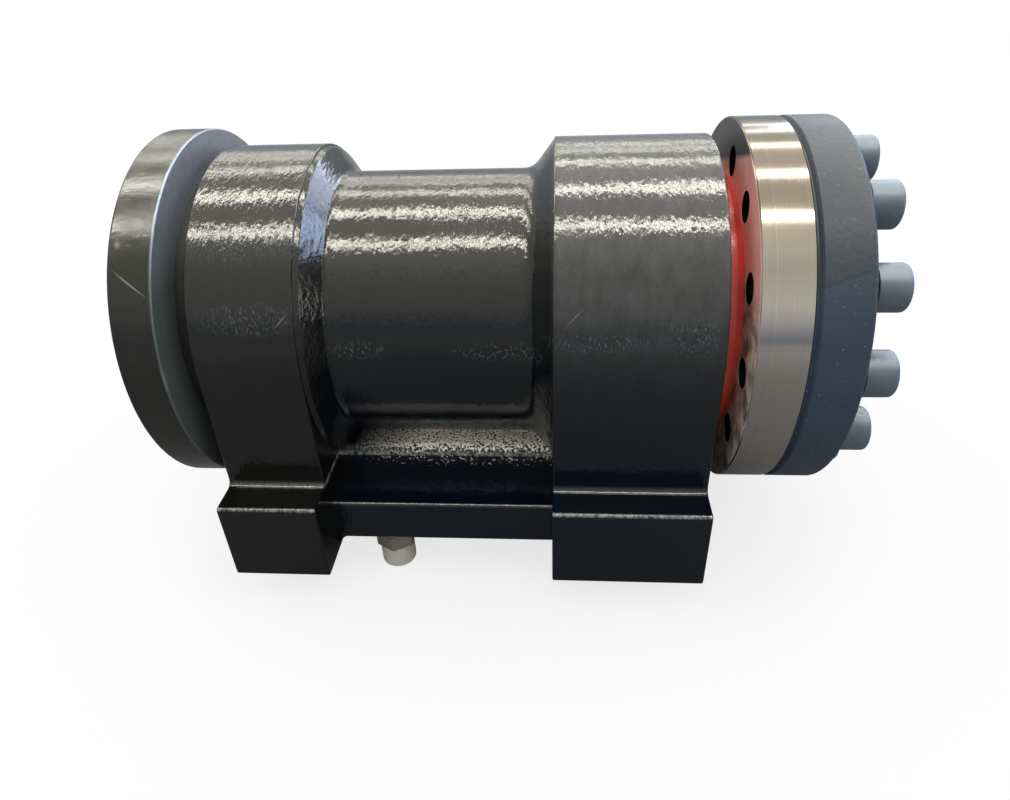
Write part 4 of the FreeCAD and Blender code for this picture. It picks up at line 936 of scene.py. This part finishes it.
# %% Floor
FLOOR_DROP, FLOOR_GLOW = 23.0, 0.74
clear_selection()
bpy.ops.mesh.primitive_plane_add(size=60, location=(0, 0, -FLOOR_DROP * MM))
floor = bpy.context.object
floor.name = "floor"
pale, tree, place = new_finish("pale_studio_floor")
shader = add(tree, "BsdfPrincipled",
             {"Base Color": linear("949595"), "Roughness": 0.9, "Specular IOR Level": 0.0})
rays = add(tree, "LightPath")
mirrored = add(tree, "Math", {"operation": "MAXIMUM"},
               {0: rays.outputs["Is Glossy Ray"], 1: rays.outputs["Is Transmission Ray"]})
# Mirrors see the floor's glow only away from the object, so near it they see painted shade.
far = add(tree, "VectorMath", {"operation": "LENGTH"}, {0: place})
glow_beyond_painted_shade = add(tree, "MapRange", {"From": (0.2, 1.6), "To": (0, 0.3)}, {0: far})
mirrored = add(tree, "Math", {"operation": "MULTIPLY"}, {0: mirrored, 1: glow_beyond_painted_shade})
seen = add(tree, "Math", {"operation": "MAXIMUM"}, {0: rays.outputs["Is Camera Ray"], 1: mirrored})
strength = add(tree, "Math", {"operation": "MULTIPLY", 1: FLOOR_GLOW}, {0: seen})
glow = add(tree, "Emission", {"Color": (1, 1, 1, 1)}, {"Strength": strength})
both = add(tree, "AddShader", links={0: shader, 1: glow})
add(tree, "OutputMaterial", links={"Surface": both})
floor.data.materials.append(pale)

# %% Lamps
LAMP_DISTANCE = 8.0
WATTS_PER_AREA = 4.0
CENTRE = Vector((0, 0, AXIS * MM))


def lamp(name, way, length, width, radiance, colour):
    """A lamp that only mirrors see, its length along X. Radiance 1 is as bright as white."""
    clear_selection()
    bpy.ops.object.light_add(type="AREA", location=CENTRE + Vector(way).normalized() * LAMP_DISTANCE)
    made = bpy.context.object
    made.name = name
    made.data.shape = "RECTANGLE"
    made.data.size = length
    made.data.size_y = width
    made.data.energy = WATTS_PER_AREA * radiance * length * width
    made.data.color = linear(colour)[:3]
    made.visible_diffuse = False
    made.rotation_euler = (CENTRE - made.location).to_track_quat("-Z", "Y").to_euler()


# Each row: degrees above the horizon on the far side, length and width in metres, and radiance.
ROWS = ((23.0, 10.0, 0.3, 5.0), (33.0, 10.0, 0.3, 7.0), (50.0, 16.0, 0.4, 15.0), (75.0, 16.0, 0.5, 30.0),
        (104.0, 16.0, 0.5, 32.0))
for number, (angle, length, width, radiance) in enumerate(ROWS):
    tilt = math.radians(angle)
    lamp(f"lamp_row_{number}", (0, math.cos(tilt), math.sin(tilt)), length, width, radiance, "fffaea")
lamp("window", (0.86, 0.28, 0.43), 3.0, 2.0, 11.0, "b9cdf4")
lamp("far_window", (0.56, 0.72, 0.40), 5.0, 1.8, 7.0, "c6d4f2")
lamp("side_door", (0.98, -0.16, 0.05), 2.6, 2.0, 5.0, "ccd2c8")

# %% Surroundings
EVEN_LIGHT, MIRRORED_WHITE = 0.9, 0.1
world = bpy.context.scene.world or bpy.data.worlds.new("studio")
bpy.context.scene.world = world
world.use_nodes = True
tree = world.node_tree
tree.nodes.clear()
way = add(tree, "TexCoord").outputs["Generated"]
apart = add(tree, "SeparateXYZ", links={0: way})
hall = add(tree, "ValToRGB", links={0: apart.outputs["Z"]})
stops = hall.color_ramp.elements
stops[0].position, stops[0].color = 0.05, (0.25, 0.31, 0.39, 1)
stops[1].position, stops[1].color = 0.97, (2.55, 2.39, 2.06, 1)
for level, colour in ((0.20, (0.62, 0.66, 0.67, 1)), (0.35, (0.91, 0.94, 0.83, 1)),
                      (0.68, (1.13, 1.14, 0.98, 1)), (0.85, (2.0, 1.91, 1.67, 1))):
    stops.new(level).color = colour
beyond = add(tree, "Math", {"operation": "MULTIPLY"}, {0: apart.outputs["Y"], 1: apart.outputs["Z"]})
beyond = add(tree, "MapRange", {"From": (0.30, 0.46), "To": (1.0, 1.5)}, {0: beyond})
hall = add(tree, "VectorMath", {"operation": "SCALE"}, {0: hall, "Scale": beyond})
rays = add(tree, "LightPath")
mirrored = add(tree, "Math", {"operation": "MAXIMUM"},
               {0: rays.outputs["Is Glossy Ray"], 1: rays.outputs["Is Transmission Ray"]})
mirrored = add(tree, "Math", {"operation": "MULTIPLY", 1: MIRRORED_WHITE}, {0: mirrored})
seen = add(tree, "Math", {"operation": "MAXIMUM"}, {0: rays.outputs["Is Camera Ray"], 1: mirrored})
hall = add(tree, "Mix", {"data_type": "RGBA", 7: (1, 1, 1, 1)}, {0: seen, 6: hall})
light = add(tree, "Mix", {"data_type": "RGBA", 7: (EVEN_LIGHT, EVEN_LIGHT, EVEN_LIGHT, 1)},
            {0: rays.outputs["Is Diffuse Ray"], 6: hall})
back = add(tree, "Background", {"Strength": 1.0}, {"Color": light})
add(tree, "OutputWorld", links={0: back})

# %% Camera
YAW, PITCH, ROLL = 0.09, 0.585, -0.045
CAMERA_PLACE = (0.0765, -0.50506, 0.3954)
SENSOR_WIDTH = 36.0
FOCAL_PIXELS, PICTURE_WIDTH = 724.278, 1010
turn = (Matrix.Rotation(YAW, 3, "Z") @ Matrix.Rotation(math.pi / 2 - PITCH, 3, "X")
        @ Matrix.Rotation(ROLL, 3, "Z"))
clear_selection()
bpy.ops.object.camera_add(location=CAMERA_PLACE, rotation=turn.to_euler())
camera = bpy.context.object
camera.data.sensor_width = SENSOR_WIDTH
camera.data.lens = FOCAL_PIXELS / PICTURE_WIDTH * SENSOR_WIDTH
camera.data.clip_start = 0.01
bpy.context.scene.camera = camera
bpy.context.scene.view_settings.view_transform = "Standard"
